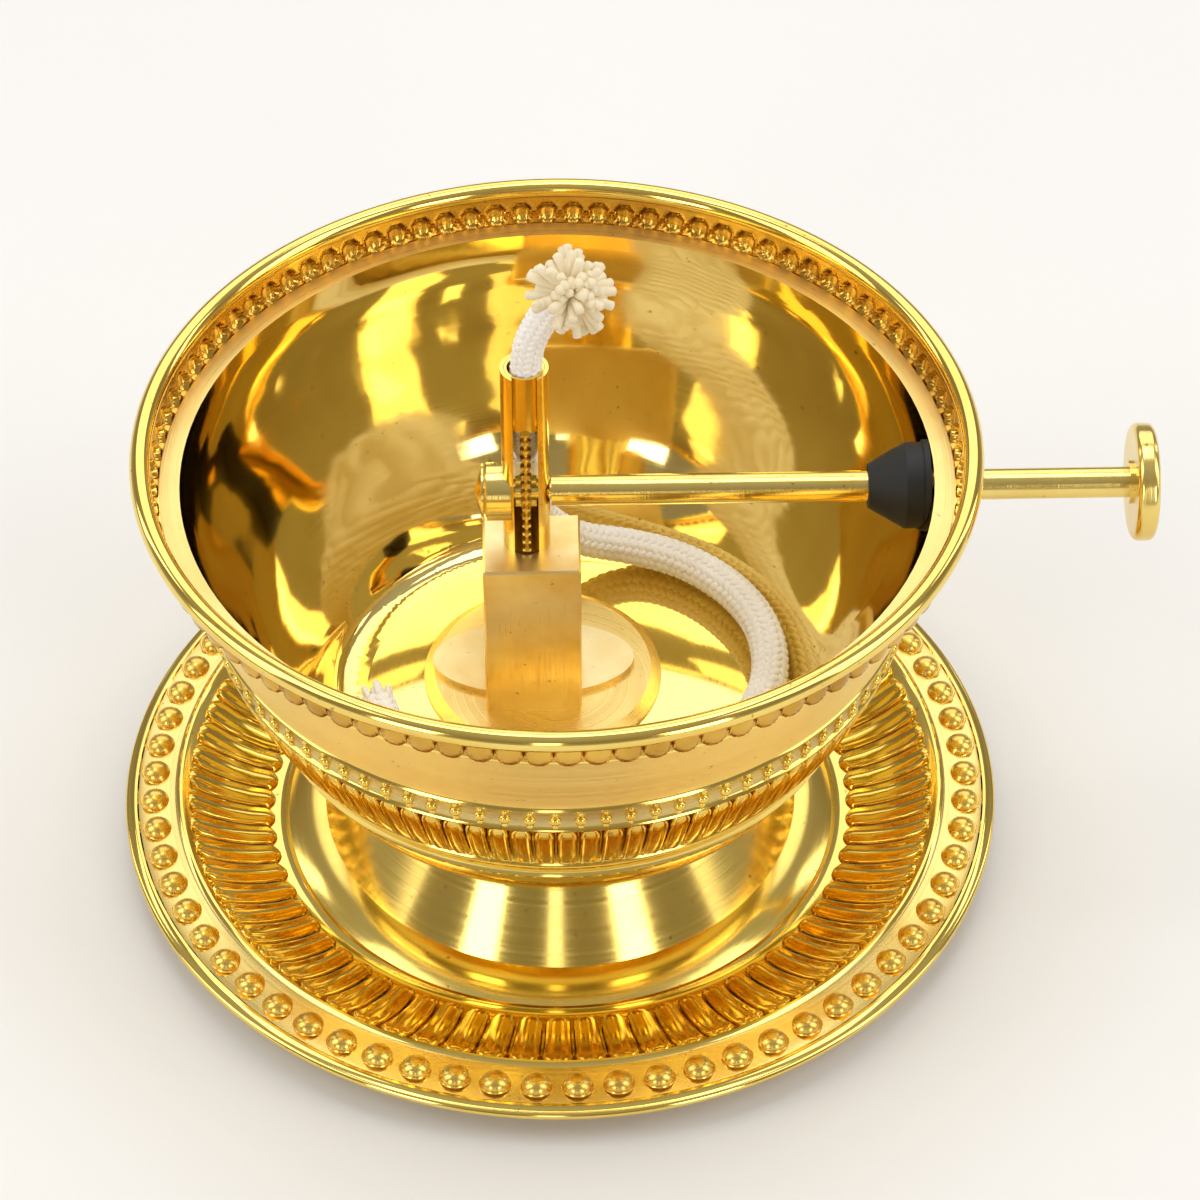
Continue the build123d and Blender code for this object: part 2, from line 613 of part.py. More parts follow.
with BuildPart() as bush_saddle:
    with BuildSketch(shaft_plane(bowl_wall - SADDLE_THICKNESS)):
        Circle(SADDLE_RADIUS)
        Circle(BUSH_RADIUS + FIT_GAP, mode=Mode.SUBTRACT)
    extrude(amount=2 * SADDLE_THICKNESS)
    with BuildSketch(Plane.XZ):
        with BuildLine():
            Polyline(
                (0, BAND_LOW_HEIGHT),
                (BAND_LOW_RADIUS + SADDLE_GAP, BAND_LOW_HEIGHT),
                (BAND_TOP_RADIUS + SADDLE_GAP, BAND_TOP_HEIGHT),
                (rim_centre - RIM_SETBACK + SADDLE_GAP, RIM_HEIGHT),
                (0, RIM_HEIGHT),
                close=True,
            )
        make_face()
    revolve(axis=Axis.Z, mode=Mode.SUBTRACT)
finish(bush_saddle.part, "bush_saddle")

with BuildPart() as bush_nut:
    with BuildSketch(shaft_plane(nut_start)):
        RegularPolygon(BUSH_NUT_FLATS / 2, 6, major_radius=False)
        Circle(BUSH_RADIUS + FIT_GAP, mode=Mode.SUBTRACT)
    extrude(amount=BUSH_NUT_THICKNESS)
finish(bush_nut.part, "bush_nut")

boot_seat = liner_wall + 0.3
boot_flange_start = boot_seat - BOOT_FLANGE
boot_body_start = boot_flange_start - BOOT_BODY
boot_tip = boot_body_start - BOOT_CONE

with BuildPart() as rubber_boot:
    with BuildSketch(shaft_plane(boot_flange_start)):
        Circle(BOOT_FLANGE_RADIUS)
    extrude(amount=BOOT_FLANGE)
    with BuildSketch(shaft_plane(boot_body_start)):
        Circle(BOOT_RADIUS)
    extrude(amount=BOOT_BODY)
    with BuildSketch(shaft_plane(boot_tip)):
        Circle(BOOT_TIP_RADIUS)
    with BuildSketch(shaft_plane(boot_body_start)):
        Circle(BOOT_RADIUS)
    loft()
    with BuildSketch(shaft_plane(boot_tip)):
        Circle(SHAFT_RADIUS + BOOT_GAP)
    extrude(amount=boot_seat - boot_tip, mode=Mode.SUBTRACT)
    with BuildSketch(shaft_plane(bush_start - BOOT_GAP)):
        Circle(BUSH_RADIUS + FIT_GAP)
    extrude(amount=BUSH_INSIDE + 1.0, mode=Mode.SUBTRACT)
    with BuildSketch(Plane.XZ):
        with BuildLine():
            moulded = liner_curve(-BOOT_SEAT_GAP)
            Polyline(moulded @ 0, (RIM_RADIUS, LINER_MOUTH_HEIGHT), (RIM_RADIUS, 0), (0, 0), moulded @ 1)
        make_face()
    revolve(axis=Axis.Z, mode=Mode.SUBTRACT)
finish(rubber_boot.part, "rubber_boot")

# ---- knob ----------------------------------------------------------------------
with BuildPart() as knob:
    with BuildSketch(shaft_plane(KNOB_REACH)):
        Circle(KNOB_RADIUS)
    extrude(amount=KNOB_THICKNESS)
    fillet(knob.edges().filter_by(GeomType.CIRCLE).group_by(SortBy.RADIUS)[-1], KNOB_ROUND)
    with BuildSketch(shaft_plane(KNOB_REACH - KNOB_HUB)):
        Circle(KNOB_HUB_RADIUS)
    extrude(amount=KNOB_HUB)
    with BuildSketch(shaft_plane(KNOB_REACH - KNOB_HUB)):
        Circle(SPIGOT_RADIUS + FIT_GAP)
    extrude(amount=KNOB_HUB + 0.6 * KNOB_THICKNESS + FIT_GAP, mode=Mode.SUBTRACT)
    with BuildSketch(shaft_plane(KNOB_REACH)):
        Circle(KNOB_SCREW_RADIUS + FIT_GAP)
    extrude(amount=KNOB_THICKNESS, mode=Mode.SUBTRACT)
finish(knob.part, "knob")

with BuildPart() as knob_screw:
    with BuildSketch(shaft_plane(knob_outer)):
        Circle(KNOB_SCREW_HEAD)
    extrude(amount=1.4)
    fillet(knob_screw.edges().filter_by(GeomType.CIRCLE).sort_by(burner.location.x_axis)[-1], 0.9)
    with BuildSketch(shaft_plane(KNOB_REACH - 0.5 * KNOB_THICKNESS)):
        Circle(KNOB_SCREW_RADIUS)
    extrude(amount=1.5 * KNOB_THICKNESS)
finish(knob_screw.part, "knob_screw")

# ---- wick ----------------------------------------------------------------------
def bend_radii(points):
    """Radius for each corner: 0.45 of its shorter run, over the tangent of half its turn."""
    radii = []
    for before, corner, after in zip(points, points[1:], points[2:]):
        run_in = Vector(*corner) - Vector(*before)
        run_out = Vector(*after) - Vector(*corner)
        half_turn = math.radians(run_in.get_angle(run_out)) / 2
        radii.append(0.45 * min(run_in.length, run_out.length) / math.tan(half_turn))
    return radii


tuft_facing = Vector(0.40, -0.60, 0.69).normalized()
tuft_middle = Vector(12.0, -6.0, tube_top + TUFT_BEND)
tuft_back = tuft_middle - TUFT_BACK * tuft_facing

wick_head = [
    (0, 0, sleeve_bottom + 0.2),
    (0, 0, tube_top + 3.5),
    (3.4, 0.6, tube_top + 12.5),
    (8.2, -0.3, tube_top + 21.0),
    tuple(tuft_back - 0.1 * tuft_facing),
]
wick_core_route = [
    (0, core_back, sleeve_bottom - 0.3),
    (0, core_back, shaft_height + 13.4),
    (0, core_back + 9.6, shaft_height + 3.8),
]
wick_tail_route = [
    (-7.8, 13.65, shaft_height + 3.75),
    (-8, 20.5, shaft_height - 3.1),
    (-8.3, 28.4, shaft_height - 13.7),
    (-8, 34, shaft_height - 25.9),
    (-5.6, 38.6, 64.6),
    (3.6, 43.2, 52.2),
    (17.6, 46.6, 46.8),
    (32.2, 41.2, 46.6),
    (44.6, 29.2, 47.2),
    (51.8, 13.8, 47.9),
    (52.6, -2.6, 47.2),
    (46.6, -17.2, 46.4),
    (36, -31.2, 46.4),
    (21.4, -42.6, 46.4),
    (4.4, -48.2, 46.4),
    (-13.2, -46.6, 46.4),
    (-28.4, -38.8, 46.4),
    (-39.6, -26.4, 46.4),
    (-44.6, -10.4, 46.2),
]


def sweep_round(points, radius, name):
    """A round solid along straight runs joined by tangent arcs."""
    radii = bend_radii(points)
    with BuildPart() as piece:
        with BuildLine() as route:
            FilletPolyline(*points, radius=radii)
        start = route.wires()[0]
        with BuildSketch(Plane(origin=start @ 0, z_dir=start % 0)):
            Circle(radius)
        sweep(path=start)
    print(name, "length", round(start.length, 1), "radii", [round(r, 1) for r in radii])
    print(name, "volume share", round(piece.part.volume / (math.pi * radius ** 2 * start.length), 4))
    finish(piece.part, name)
    return start


def from_burner(points):
    return [tuple(burner.from_local_coords(point)) for point in points]


sweep_round(from_burner(wick_head), WICK_RADIUS, "wick_head")
sweep_round(from_burner(wick_core_route), core_radius, "wick_core")
tail = sweep_round(wick_tail_route, TAIL_RADIUS, "wick_tail")

tuft_plane = Plane(
    origin=burner.from_local_coords(tuft_middle),
    z_dir=burner.from_local_coords(tuft_middle + tuft_facing) - burner.from_local_coords(tuft_middle),
)

with BuildPart() as wick_tuft:
    with BuildSketch(tuft_plane.offset(-TUFT_BACK)):
        Circle(0.55 * TUFT_RADIUS)
    with BuildSketch(tuft_plane):
        Circle(TUFT_RADIUS)
    with BuildSketch(tuft_plane.offset(TUFT_SHOULDER)):
        Circle(0.82 * TUFT_RADIUS)
    with BuildSketch(tuft_plane.offset(TUFT_CROWN)):
        Circle(0.4 * TUFT_RADIUS)
    loft(ruled=True)
finish(wick_tuft.part, "wick_tuft")

with BuildPart() as wick_fray:
    with BuildSketch(Plane(origin=tail @ 1, z_dir=tail % 1)):
        Circle(0.8 * TAIL_RADIUS)
    with BuildSketch(Plane(origin=tail @ 1, z_dir=tail % 1).offset(FRAY_LENGTH)):
        Circle(1.05 * TAIL_RADIUS)
    loft()
finish(wick_fray.part, "wick_fray")
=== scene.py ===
"""Looks of a brass oil lamp with a wick lifter, laid out as a Blender add-on.

Metres, +Z up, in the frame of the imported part. Sizes are written in millimetres
and turned to metres by the value named mm. The lamp's axis is the Z axis; the
burner stands a little off it and is turned by BURNER_YAW.
"""

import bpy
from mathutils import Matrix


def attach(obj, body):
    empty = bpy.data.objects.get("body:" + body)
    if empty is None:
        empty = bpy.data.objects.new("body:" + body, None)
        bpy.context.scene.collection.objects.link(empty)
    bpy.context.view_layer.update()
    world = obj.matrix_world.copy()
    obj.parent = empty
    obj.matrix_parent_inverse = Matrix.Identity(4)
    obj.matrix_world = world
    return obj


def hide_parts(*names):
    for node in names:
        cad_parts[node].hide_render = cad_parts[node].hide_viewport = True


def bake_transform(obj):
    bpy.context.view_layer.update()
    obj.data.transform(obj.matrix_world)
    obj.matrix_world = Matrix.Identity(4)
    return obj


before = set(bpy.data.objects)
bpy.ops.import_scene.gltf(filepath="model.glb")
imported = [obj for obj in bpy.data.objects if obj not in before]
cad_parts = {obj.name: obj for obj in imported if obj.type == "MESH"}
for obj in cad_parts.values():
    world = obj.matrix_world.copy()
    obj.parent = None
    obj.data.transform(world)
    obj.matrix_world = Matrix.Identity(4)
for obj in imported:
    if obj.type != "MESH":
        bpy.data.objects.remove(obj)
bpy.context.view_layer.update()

import math

import bmesh
import bpy
import numpy as np
from mathutils import Vector

bl_info = {
    "name": "Brass Oil Lamp",
    "version": (1, 0, 0),
    "blender": (4, 5, 0),
    "location": "View3D > Sidebar > Oil Lamp",
    "description": "Adds the beading, braid, finishes and studio of a brass oil lamp",
    "category": "Object",
}

mm = 0.001
FULL_TURN = 2 * math.pi

# ---- places that the frame gives -------------------------------------------------
BURNER_X, BURNER_Y = -7.5, 2.9
BURNER_YAW = math.radians(1.3)
SHAFT_HEIGHT = 104.9
BUSH_HOLE_RADIUS = 5.5       # through the outer bowl, for the shaft's wall bush

# Bowed stretches of the shells, each its start, its end and its bow as a share of the chord.
PLATE_WELL = ((70.6, 1.0), (95.8, 12.3), 0.0966)
BOWL_UNDERSIDE = ((45.0, 22.6), (71.0, 50.0), 0.095)
FLUTE_WALL = ((73.6, 56.9), (83.3, 79.1), 0.034)

# ---- ornament, in mm -------------------------------------------------------------
PLATE_FLUTE_START = 72.6     # distance from the axis
PLATE_FLUTE_LENGTH = 21.6
PLATE_FLUTE_RISE = 1.6
PLATE_FLUTE_SHARE = 0.95     # a flute's width as a share of its place in the ring
BOWL_FLUTE_START = 58.0      # height over the table
BOWL_FLUTE_LENGTH = 20.8
BOWL_FLUTE_RISE = 1.25
BOWL_FLUTE_SHARE = 0.93
DOME_RING = (102.2, 11.15)   # distance from the axis, height
DOME_FLATTENING = 0.8
DOME_FOOT_ROLL = 0.35        # radius of the ring round a dome's foot
FLANGE_SLOPE = math.radians(10)
BEAD_CENTRE = (95.0, 116.4)
BEAD_HALF_WIDTH = 2.95
BEAD_HALF_HEIGHT = 3.5
BEAD_RISE = 2.4
STRIP_ROWS = ((83.1, 1.45), (85.5, 0.7), (80.8, 0.75))   # height, radius of each row of small beads
TURN_STEPS = 360
SMOOTH_BELOW = math.radians(40)      # edges sharper than this stay sharp
GOLDEN_ANGLE = 2.39996       # from one yarn end to the next, so that they stand in no rows

# Where a finish changes.
FLANGE_BAND = (96.9, 106.6)  # distance from the axis, on the drip plate
STRIP_BAND = (80.3, 85.9)    # height, on the bowl's outside
SATIN_BAND = (87.7, 111.9)
LINER_RIM = (89.0, 113.0)    # distance and height from which the liner is brushed

# ---- camera and light ------------------------------------------------------------
CAMERA_PLACE = (0.010087, -0.704415, 0.742545)
CAMERA_DIP = 43.5955         # degrees below level
LIT_POINT = (0, 0, 0.06)     # where every panel light points
# name, azimuth in degrees, distance out, height, width, depth, radiance
PANELS = (
    ("overhead", 90, 0.30, 1.60, 1.05, 0.70, 2.8),
    ("back_wall", 90, 1.05, 1.00, 1.50, 0.90, 1.3),
    ("window_left", -124, 1.10, 0.40, 0.28, 0.48, 4.6),
    ("window_right", -58, 1.10, 0.40, 0.28, 0.48, 4.6),
    ("front_strip", -92, 1.15, 0.36, 0.12, 0.55, 2.0),
    ("side_left", -170, 1.15, 0.62, 0.60, 0.80, 1.7),
    ("side_right", -10, 1.15, 0.62, 0.60, 0.80, 1.7),
    ("rear_left", 152, 1.15, 0.62, 0.18, 0.70, 2.4),
    ("rear_right", 30, 1.15, 0.62, 0.18, 0.70, 2.4),
    ("high_left", -165, 0.90, 1.05, 0.60, 0.60, 1.9),
    ("high_right", -15, 0.90, 1.05, 0.60, 0.60, 1.9),
)

HEAD_RADIUS = 3.9            # the wick over the tube
CORE_RADIUS = 3.4            # the wick inside it

# The wick's centre lines, as in the part's source, in metres.
TAIL_ROUTE = (
    (-0.0078, 0.01365, 0.10865), (-0.008, 0.0205, 0.1018), (-0.0083, 0.0284, 0.0912),
    (-0.008, 0.034, 0.079), (-0.0056, 0.0386, 0.0646), (0.0036, 0.0432, 0.0522),
    (0.0176, 0.0466, 0.0468), (0.0322, 0.0412, 0.0466), (0.0446, 0.0292, 0.0472),
    (0.0518, 0.0138, 0.0479), (0.0526, -0.0026, 0.0472), (0.0466, -0.0172, 0.0464),
    (0.036, -0.0312, 0.0464), (0.0214, -0.0426, 0.0464), (0.0044, -0.0482, 0.0464),
    (-0.0132, -0.0466, 0.0464), (-0.0284, -0.0388, 0.0464), (-0.0396, -0.0264, 0.0464),
    (-0.0446, -0.0104, 0.0462),
)
HEAD_ROUTE = (
    (0, 0, 0.1274), (0, 0, 0.147), (0.0034, 0.0006, 0.156), (0.0082, -0.0003, 0.1645),
    (0.01053, -0.00379, 0.16845),
)
CORE_ROUTE = ((0, 0.0011, 0.1269), (0, 0.0011, 0.1183), (0, 0.0107, 0.1087))


# ---- small helpers ---------------------------------------------------------------
def hex_linear(code):
    """Linear RGBA of an sRGB hex colour."""
    values = [int(code[i:i + 2], 16) / 255 for i in (1, 3, 5)]
    return tuple(v / 12.92 if v <= 0.04045 else ((v + 0.055) / 1.055) ** 2.4 for v in values) + (1,)


def from_burner(point):
    """A point given from the wick tube's axis, in the lamp's frame, in metres."""
    c, s = math.cos(BURNER_YAW), math.sin(BURNER_YAW)
    x, y, z = point
    return (BURNER_X * mm + x * c - y * s, BURNER_Y * mm + x * s + y * c, z)


def bowed(start, end, share, steps):
    """Points of the arc from start to end that stands off its chord by a share of it, start left out."""
    chord = Vector(end) - Vector(start)
    half = chord.length / 2
    rise = share * chord.length
    side = Vector((chord.y, -chord.x)).normalized()
    radius = (half ** 2 + rise ** 2) / (2 * rise)
    centre = Vector(start) + chord / 2 + side * (rise - radius)
    sweep = 2 * math.asin(half / radius)
    points = []
    for i in range(1, steps + 1):
        angle = sweep * (i / steps - 0.5)
        spoke = side * math.cos(angle) + chord.normalized() * math.sin(angle)
        points.append(tuple(centre + radius * spoke))
    return points


def rounded(centre, radius, first, last, steps):
    """Points of an arc round a centre, between two angles in degrees."""
    angles = [math.radians(first + (last - first) * i / steps) for i in range(steps + 1)]
    return [(centre[0] + radius * math.cos(a), centre[1] + radius * math.sin(a)) for a in angles]


def deselect():
    if bpy.context.object and bpy.context.object.mode != "OBJECT":
        bpy.ops.object.mode_set(mode="OBJECT")
    bpy.ops.object.select_all(action="DESELECT")


def pick(piece):
    """Makes a piece the active one and the only one selected."""
    deselect()
    piece.select_set(True)
    bpy.context.view_layer.objects.active = piece


def named(name):
    """Names the new active object and its mesh."""
    piece = bpy.context.object
    piece.name = name
    piece.data.name = name
    return piece


def tidy_shell():
    """Closes doubles and turns the faces outwards, in edit mode."""
    bpy.ops.mesh.select_all(action="SELECT")
    bpy.ops.mesh.remove_doubles(threshold=0.002 * mm)
    bpy.ops.mesh.normals_make_consistent(inside=False)


def trace(profile):
    """An edge chain in the XZ plane through (radius, height) points, left in edit mode."""
    deselect()
    bpy.ops.mesh.primitive_circle_add(vertices=3, radius=mm, fill_type="NOTHING")
    bpy.ops.object.mode_set(mode="EDIT")
    bpy.ops.mesh.merge(type="CENTER")
    bpy.ops.transform.translate(value=(profile[0][0] * mm, 0, profile[0][1] * mm))
    for before, after in zip(profile, profile[1:]):
        step = ((after[0] - before[0]) * mm, 0, (after[1] - before[1]) * mm)
        bpy.ops.mesh.extrude_region_move(TRANSFORM_OT_translate={"value": step})


def lathe(name, profile):
    """A turned shell: the profile, joined end to start, spun round Z."""
    trace(profile + [profile[0]])
    bpy.ops.mesh.select_all(action="SELECT")
    bpy.ops.mesh.spin(steps=TURN_STEPS, angle=FULL_TURN, center=(0, 0, 0), axis=(0, 0, 1))
    tidy_shell()
    bpy.ops.object.mode_set(mode="OBJECT")
    return named(name)


def ring_copies(count):
    """Repeats the selected geometry round Z, in edit mode."""
    bpy.ops.mesh.select_all(action="SELECT")
    bpy.ops.mesh.spin(steps=count - 1, angle=FULL_TURN * (count - 1) / count, dupli=True,
                      center=(0, 0, 0), axis=(0, 0, 1))


# Across a section of radius 1: how far out each pair of points is, and how far it is moved up.
PANEL_RISES = ((0.966, 0.28), (0.866, 0.42), (0.707, 0.29), (0.5, -0.18), (0.259, -0.13), (0.0, -0.10))


def panel_section(piece, up):
    """Shapes the top of a unit round section in edit mode: two ridges with a low crown between."""
    for across, rise in PANEL_RISES:
        mesh = bmesh.from_edit_mesh(piece.data)
        for vertex in mesh.verts:
            beside = abs(abs(vertex.co.y) - across * mm) < 0.02 * mm
            vertex.select_set(beside and vertex.co.dot(up) > 0.1 * mm)
        bpy.ops.transform.translate(value=up * rise * mm)
    bpy.ops.mesh.select_all(action="SELECT")


def lobe(stations, lying):
    """A closed lobe with a panelled top, left in edit mode.

    Each station is (distance from the axis, height, half width, rise). A lying lobe runs
    outwards with its top up, and a standing one runs upwards with its top outwards.
    """
    def stretch(wide, rise):
        return (1, wide, rise) if lying else (rise, wide, 1)

    deselect()
    bpy.ops.mesh.primitive_circle_add(vertices=24, radius=mm, fill_type="NGON")
    bpy.ops.object.mode_set(mode="EDIT")
    if lying:
        bpy.ops.transform.rotate(value=math.pi / 2, orient_axis="Y", center_override=(0, 0, 0))
    panel_section(bpy.context.object, Vector((0, 0, 1) if lying else (1, 0, 0)))
    out, height, wide, rise = stations[0]
    bpy.ops.transform.resize(value=stretch(wide, rise), center_override=(0, 0, 0))
    bpy.ops.transform.translate(value=(out * mm, 0, height * mm))
    for before, after in zip(stations, stations[1:]):
        step = ((after[0] - before[0]) * mm, 0, (after[1] - before[1]) * mm)
        bpy.ops.mesh.extrude_region_move(TRANSFORM_OT_translate={"value": step})
        place = (after[0] * mm, 0, after[1] * mm)
        growth = stretch(after[2] / before[2], after[3] / before[3])
        bpy.ops.transform.resize(value=growth, center_override=place)
    tidy_shell()


def settle(piece):
    """Puts the piece's place in its mesh, its object at the origin."""
    pick(piece)
    bpy.ops.object.transform_apply(location=True, rotation=True, scale=True)
    return piece


def join(name, pieces):
    """One object out of several finished ones."""
    deselect()
    for piece in pieces:
        piece.select_set(True)
    bpy.context.view_layer.objects.active = pieces[0]
    bpy.ops.object.join()
    return settle(named(name))


def smooth(piece):
    pick(piece)
    bpy.ops.object.shade_smooth_by_angle(angle=SMOOTH_BELOW)


def hand_over(piece, body, slot, material, *nodes):
    """Finish, body and the CAD nodes that a new piece stands for; slot is not used."""
    if material:
        piece.data.materials.clear()
        piece.data.materials.append(material)
    if body:
        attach(piece, body)
    if nodes:
        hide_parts(*nodes)


def route_points(route, spacing):
    """Evenly spaced points along the NURBS spline whose control points are the route's."""
    curve = bpy.data.curves.new("route", "CURVE")
    curve.dimensions = "3D"
    curve.resolution_u = 24
    spline = curve.splines.new("NURBS")
    spline.points.add(len(route) - 1)
    for point, place in zip(spline.points, route):
        point.co = (*place, 1)
    spline.order_u = 3
    spline.use_endpoint_u = True
    holder = bpy.data.objects.new("route", curve)
    bpy.context.scene.collection.objects.link(holder)
    bpy.context.view_layer.update()
    mesh = bpy.data.meshes.new_from_object(holder)
    places = np.array([v.co for v in mesh.vertices])
    bpy.data.objects.remove(holder)
    bpy.data.meshes.remove(mesh)
    along = np.concatenate([[0], np.cumsum(np.linalg.norm(np.diff(places, axis=0), axis=1))])
    count = int(round(along[-1] / spacing))
    wanted = np.linspace(0, along[-1], count + 1)
    return np.stack([np.interp(wanted, along, places[:, i]) for i in range(3)], 1)


def carried_frames(points):
    """Two cross directions at each point, carried along without twist."""
    tangents = np.gradient(points, axis=0)
    tangents /= np.linalg.norm(tangents, axis=1)[:, None]
    side = np.cross(tangents[0], (0.31, 0.95, 0.05))
    sides = []
    for tangent in tangents:
        side = side - tangent * (side @ tangent)
        side = side / np.linalg.norm(side)
        sides.append(side)
    sides = np.array(sides)
    return sides, np.cross(tangents, sides)


def braid(name, points, radius, strands, lead, strand, material, thin=None):
    """A round braid of two opposed sets of strands over a core, two over and two under.

    radius is the outside radius, strand the half width of one strand, lead the length in
    which a strand goes once round. thin gives a share of the radius at each point.
    """
    sides, ups = carried_frames(points)
    steps = np.concatenate([[0], np.cumsum(np.linalg.norm(np.diff(points, axis=0), axis=1))])
    share = np.ones(len(points)) if thin is None else thin
    half_thick = 0.55 * strand
    weave = 0.45 * strand
    middle = radius - half_thick - weave
    vertices, faces = [], []

    def tube(centres, across, out, wide, high, sides_round):
        start = len(vertices)
        for i in range(len(centres)):
            for j in range(sides_round):
                angle = FULL_TURN * j / sides_round
                offset = across[i] * (wide[i] * math.cos(angle)) + out[i] * (high[i] * math.sin(angle))
                vertices.append(centres[i] + offset)
        for i in range(len(centres) - 1):
            for j in range(sides_round):
                a, b = start + i * sides_round + j, start + i * sides_round + (j + 1) % sides_round
                faces.append((a, b, b + sides_round, a + sides_round))
        faces.append(tuple(range(start, start + sides_round))[::-1])
        faces.append(tuple(range(len(vertices) - sides_round, len(vertices))))

    turn = FULL_TURN / lead
    for way in (1, -1):
        for k in range(strands):
            angles = FULL_TURN * k / strands + way * turn * steps
            over = np.cos(strands * turn * steps / 2 + way * math.pi * k + way * math.pi / 4)
            out = sides * np.cos(angles)[:, None] + ups * np.sin(angles)[:, None]
            centres = points + out * ((middle + way * weave * over) * share)[:, None]
            run = np.gradient(centres, axis=0)
            run /= np.linalg.norm(run, axis=1)[:, None]
            across = np.cross(run, out)
            tube(centres, across, out, strand * share, np.full(len(points), half_thick), 6)
    core = (middle - 0.3 * strand) * share
    tube(points, sides, ups, core, core, 14)
    mesh = bpy.data.meshes.new(name)
    mesh.from_pydata([tuple(v) for v in vertices], [], faces)
    piece = bpy.data.objects.new(name, mesh)
    bpy.context.scene.collection.objects.link(piece)
    pick(piece)
    bpy.ops.object.mode_set(mode="EDIT")
    bpy.ops.mesh.select_all(action="SELECT")
    bpy.ops.mesh.normals_make_consistent(inside=False)
    bpy.ops.object.mode_set(mode="OBJECT")
    bpy.ops.object.shade_smooth()
    piece.data.materials.append(material)
    return piece


# ---- finishes --------------------------------------------------------------------
def add_node(tree, kind, settings=None, links=None):
    """Adds a node, sets its sockets and properties, and links its inputs."""
    node = tree.nodes.new(kind)
    for key, value in (settings or {}).items():
        if isinstance(key, int) or key in node.inputs:
            node.inputs[key].default_value = value
        else:
            setattr(node, key, value)
    for key, source in (links or {}).items():
        tree.links.new(source, node.inputs[key])
    return node


def new_finish(name, settings):
    """A material with its shader's constant settings, and a link to the object's own coordinates."""
    material = bpy.data.materials.new(name)
    material.use_nodes = True
    tree = material.node_tree
    shader = next(node for node in tree.nodes if node.type == "BSDF_PRINCIPLED")
    for key, value in settings.items():
        shader.inputs[key].default_value = value
    place = add_node(tree, "ShaderNodeTexCoord")
    return material, tree, shader, {"Vector": place.outputs["Object"]}


def turned_coordinates(tree, here, centre, turn):
    """Distance from a turning axis and place along it, as a noise coordinate."""
    mapping = add_node(tree, "ShaderNodeMapping",
                       {"vector_type": "TEXTURE", "Location": centre, "Rotation": turn}, here)
    parts = add_node(tree, "ShaderNodeSeparateXYZ", links={0: mapping.outputs[0]})
    flat = add_node(tree, "ShaderNodeCombineXYZ", links={"X": parts.outputs["X"], "Y": parts.outputs["Y"]})
    radius = add_node(tree, "ShaderNodeVectorMath", {"operation": "LENGTH"}, {0: flat.outputs[0]})
    return add_node(tree, "ShaderNodeCombineXYZ",
                    links={"X": radius.outputs["Value"], "Y": parts.outputs["Z"]})


TARNISH = "#7A4E12"          # brown specks of old polish and oil
PATCHES_PER_METRE = 38.0     # clean and handled areas, about 26 mm across
SPECKS_PER_METRE = 420.0     # about 2.4 mm apart, coarser than the real specks so that they show
MARK_RELIEF = 0.05           # mm, the height that a bump of strength 1 stands for
STRAIGHT_MARKS = (1, 1, 0.02)            # stretches the marks up and down the piece


def brass(name, pale, deep, rough, groove_mm, groove_depth, turned=None, mottle=0.35, smudge=0.10):
    """Brass with tool marks groove_mm apart, pale and deep patches, fingermarks and brown specks.

    turned is (centre, rotation) of the axis that the marks run round, or None for straight
    marks down the height. mottle is how deep the patches go, smudge how dull they are.
    """
    material, tree, shader, here = new_finish(name, {"Metallic": 1.0, "Roughness": rough})
    if turned:
        run = turned_coordinates(tree, here, *turned)
    else:
        run = add_node(tree, "ShaderNodeMapping", {"Scale": STRAIGHT_MARKS}, here)
    marks = add_node(tree, "ShaderNodeTexNoise",
                     {"Scale": 1 / (groove_mm * mm), "Detail": 2.0, "Roughness": 0.6},
                     {"Vector": run.outputs[0]})
    patches = add_node(tree, "ShaderNodeTexNoise",
                       {"Scale": PATCHES_PER_METRE, "Detail": 4.0, "Roughness": 0.55}, here)
    specks = add_node(tree, "ShaderNodeTexNoise",
                      {"Scale": SPECKS_PER_METRE, "Detail": 3.0, "Roughness": 0.6}, here)
    blend = add_node(tree, "ShaderNodeMapRange", {"From Min": 0.38, "From Max": 0.66, "To Max": mottle},
                     {"Value": patches.outputs["Fac"]})
    colour = add_node(tree, "ShaderNodeMix",
                      {"data_type": "RGBA", 6: hex_linear(pale), 7: hex_linear(deep)},
                      {0: blend.outputs[0]})
    spots = add_node(tree, "ShaderNodeMapRange", {"From Min": 0.68, "From Max": 0.74, "To Max": 0.55},
                     {"Value": specks.outputs["Fac"]})
    stained = add_node(tree, "ShaderNodeMix", {"data_type": "RGBA", 7: hex_linear(TARNISH)},
                       {0: spots.outputs[0], 6: colour.outputs[2]})
    tree.links.new(stained.outputs[2], shader.inputs["Base Color"])
    wear = add_node(tree, "ShaderNodeMapRange", {"From Min": 0.3, "From Max": 0.7, "To Min": 0.75 * rough,
                                                 "To Max": 1.35 * rough}, {"Value": marks.outputs["Fac"]})
    smear = add_node(tree, "ShaderNodeMath", {"operation": "MULTIPLY_ADD", 1: smudge},
                     {0: blend.outputs[0], 2: wear.outputs[0]})
    tree.links.new(smear.outputs[0], shader.inputs["Roughness"])
    bump = add_node(tree, "ShaderNodeBump", {"Strength": groove_depth, "Distance": MARK_RELIEF * mm},
                    {"Height": marks.outputs["Fac"]})
    tree.links.new(bump.outputs[0], shader.inputs["Normal"])
    return material


UPRIGHT = ((0, 0, 0), (0, 0, 0))
ALONG_SHAFT = ((BURNER_X * mm, BURNER_Y * mm, SHAFT_HEIGHT * mm), (0, math.pi / 2, BURNER_YAW))
ALONG_TUBE = ((BURNER_X * mm, BURNER_Y * mm, 0), (0, 0, 0))


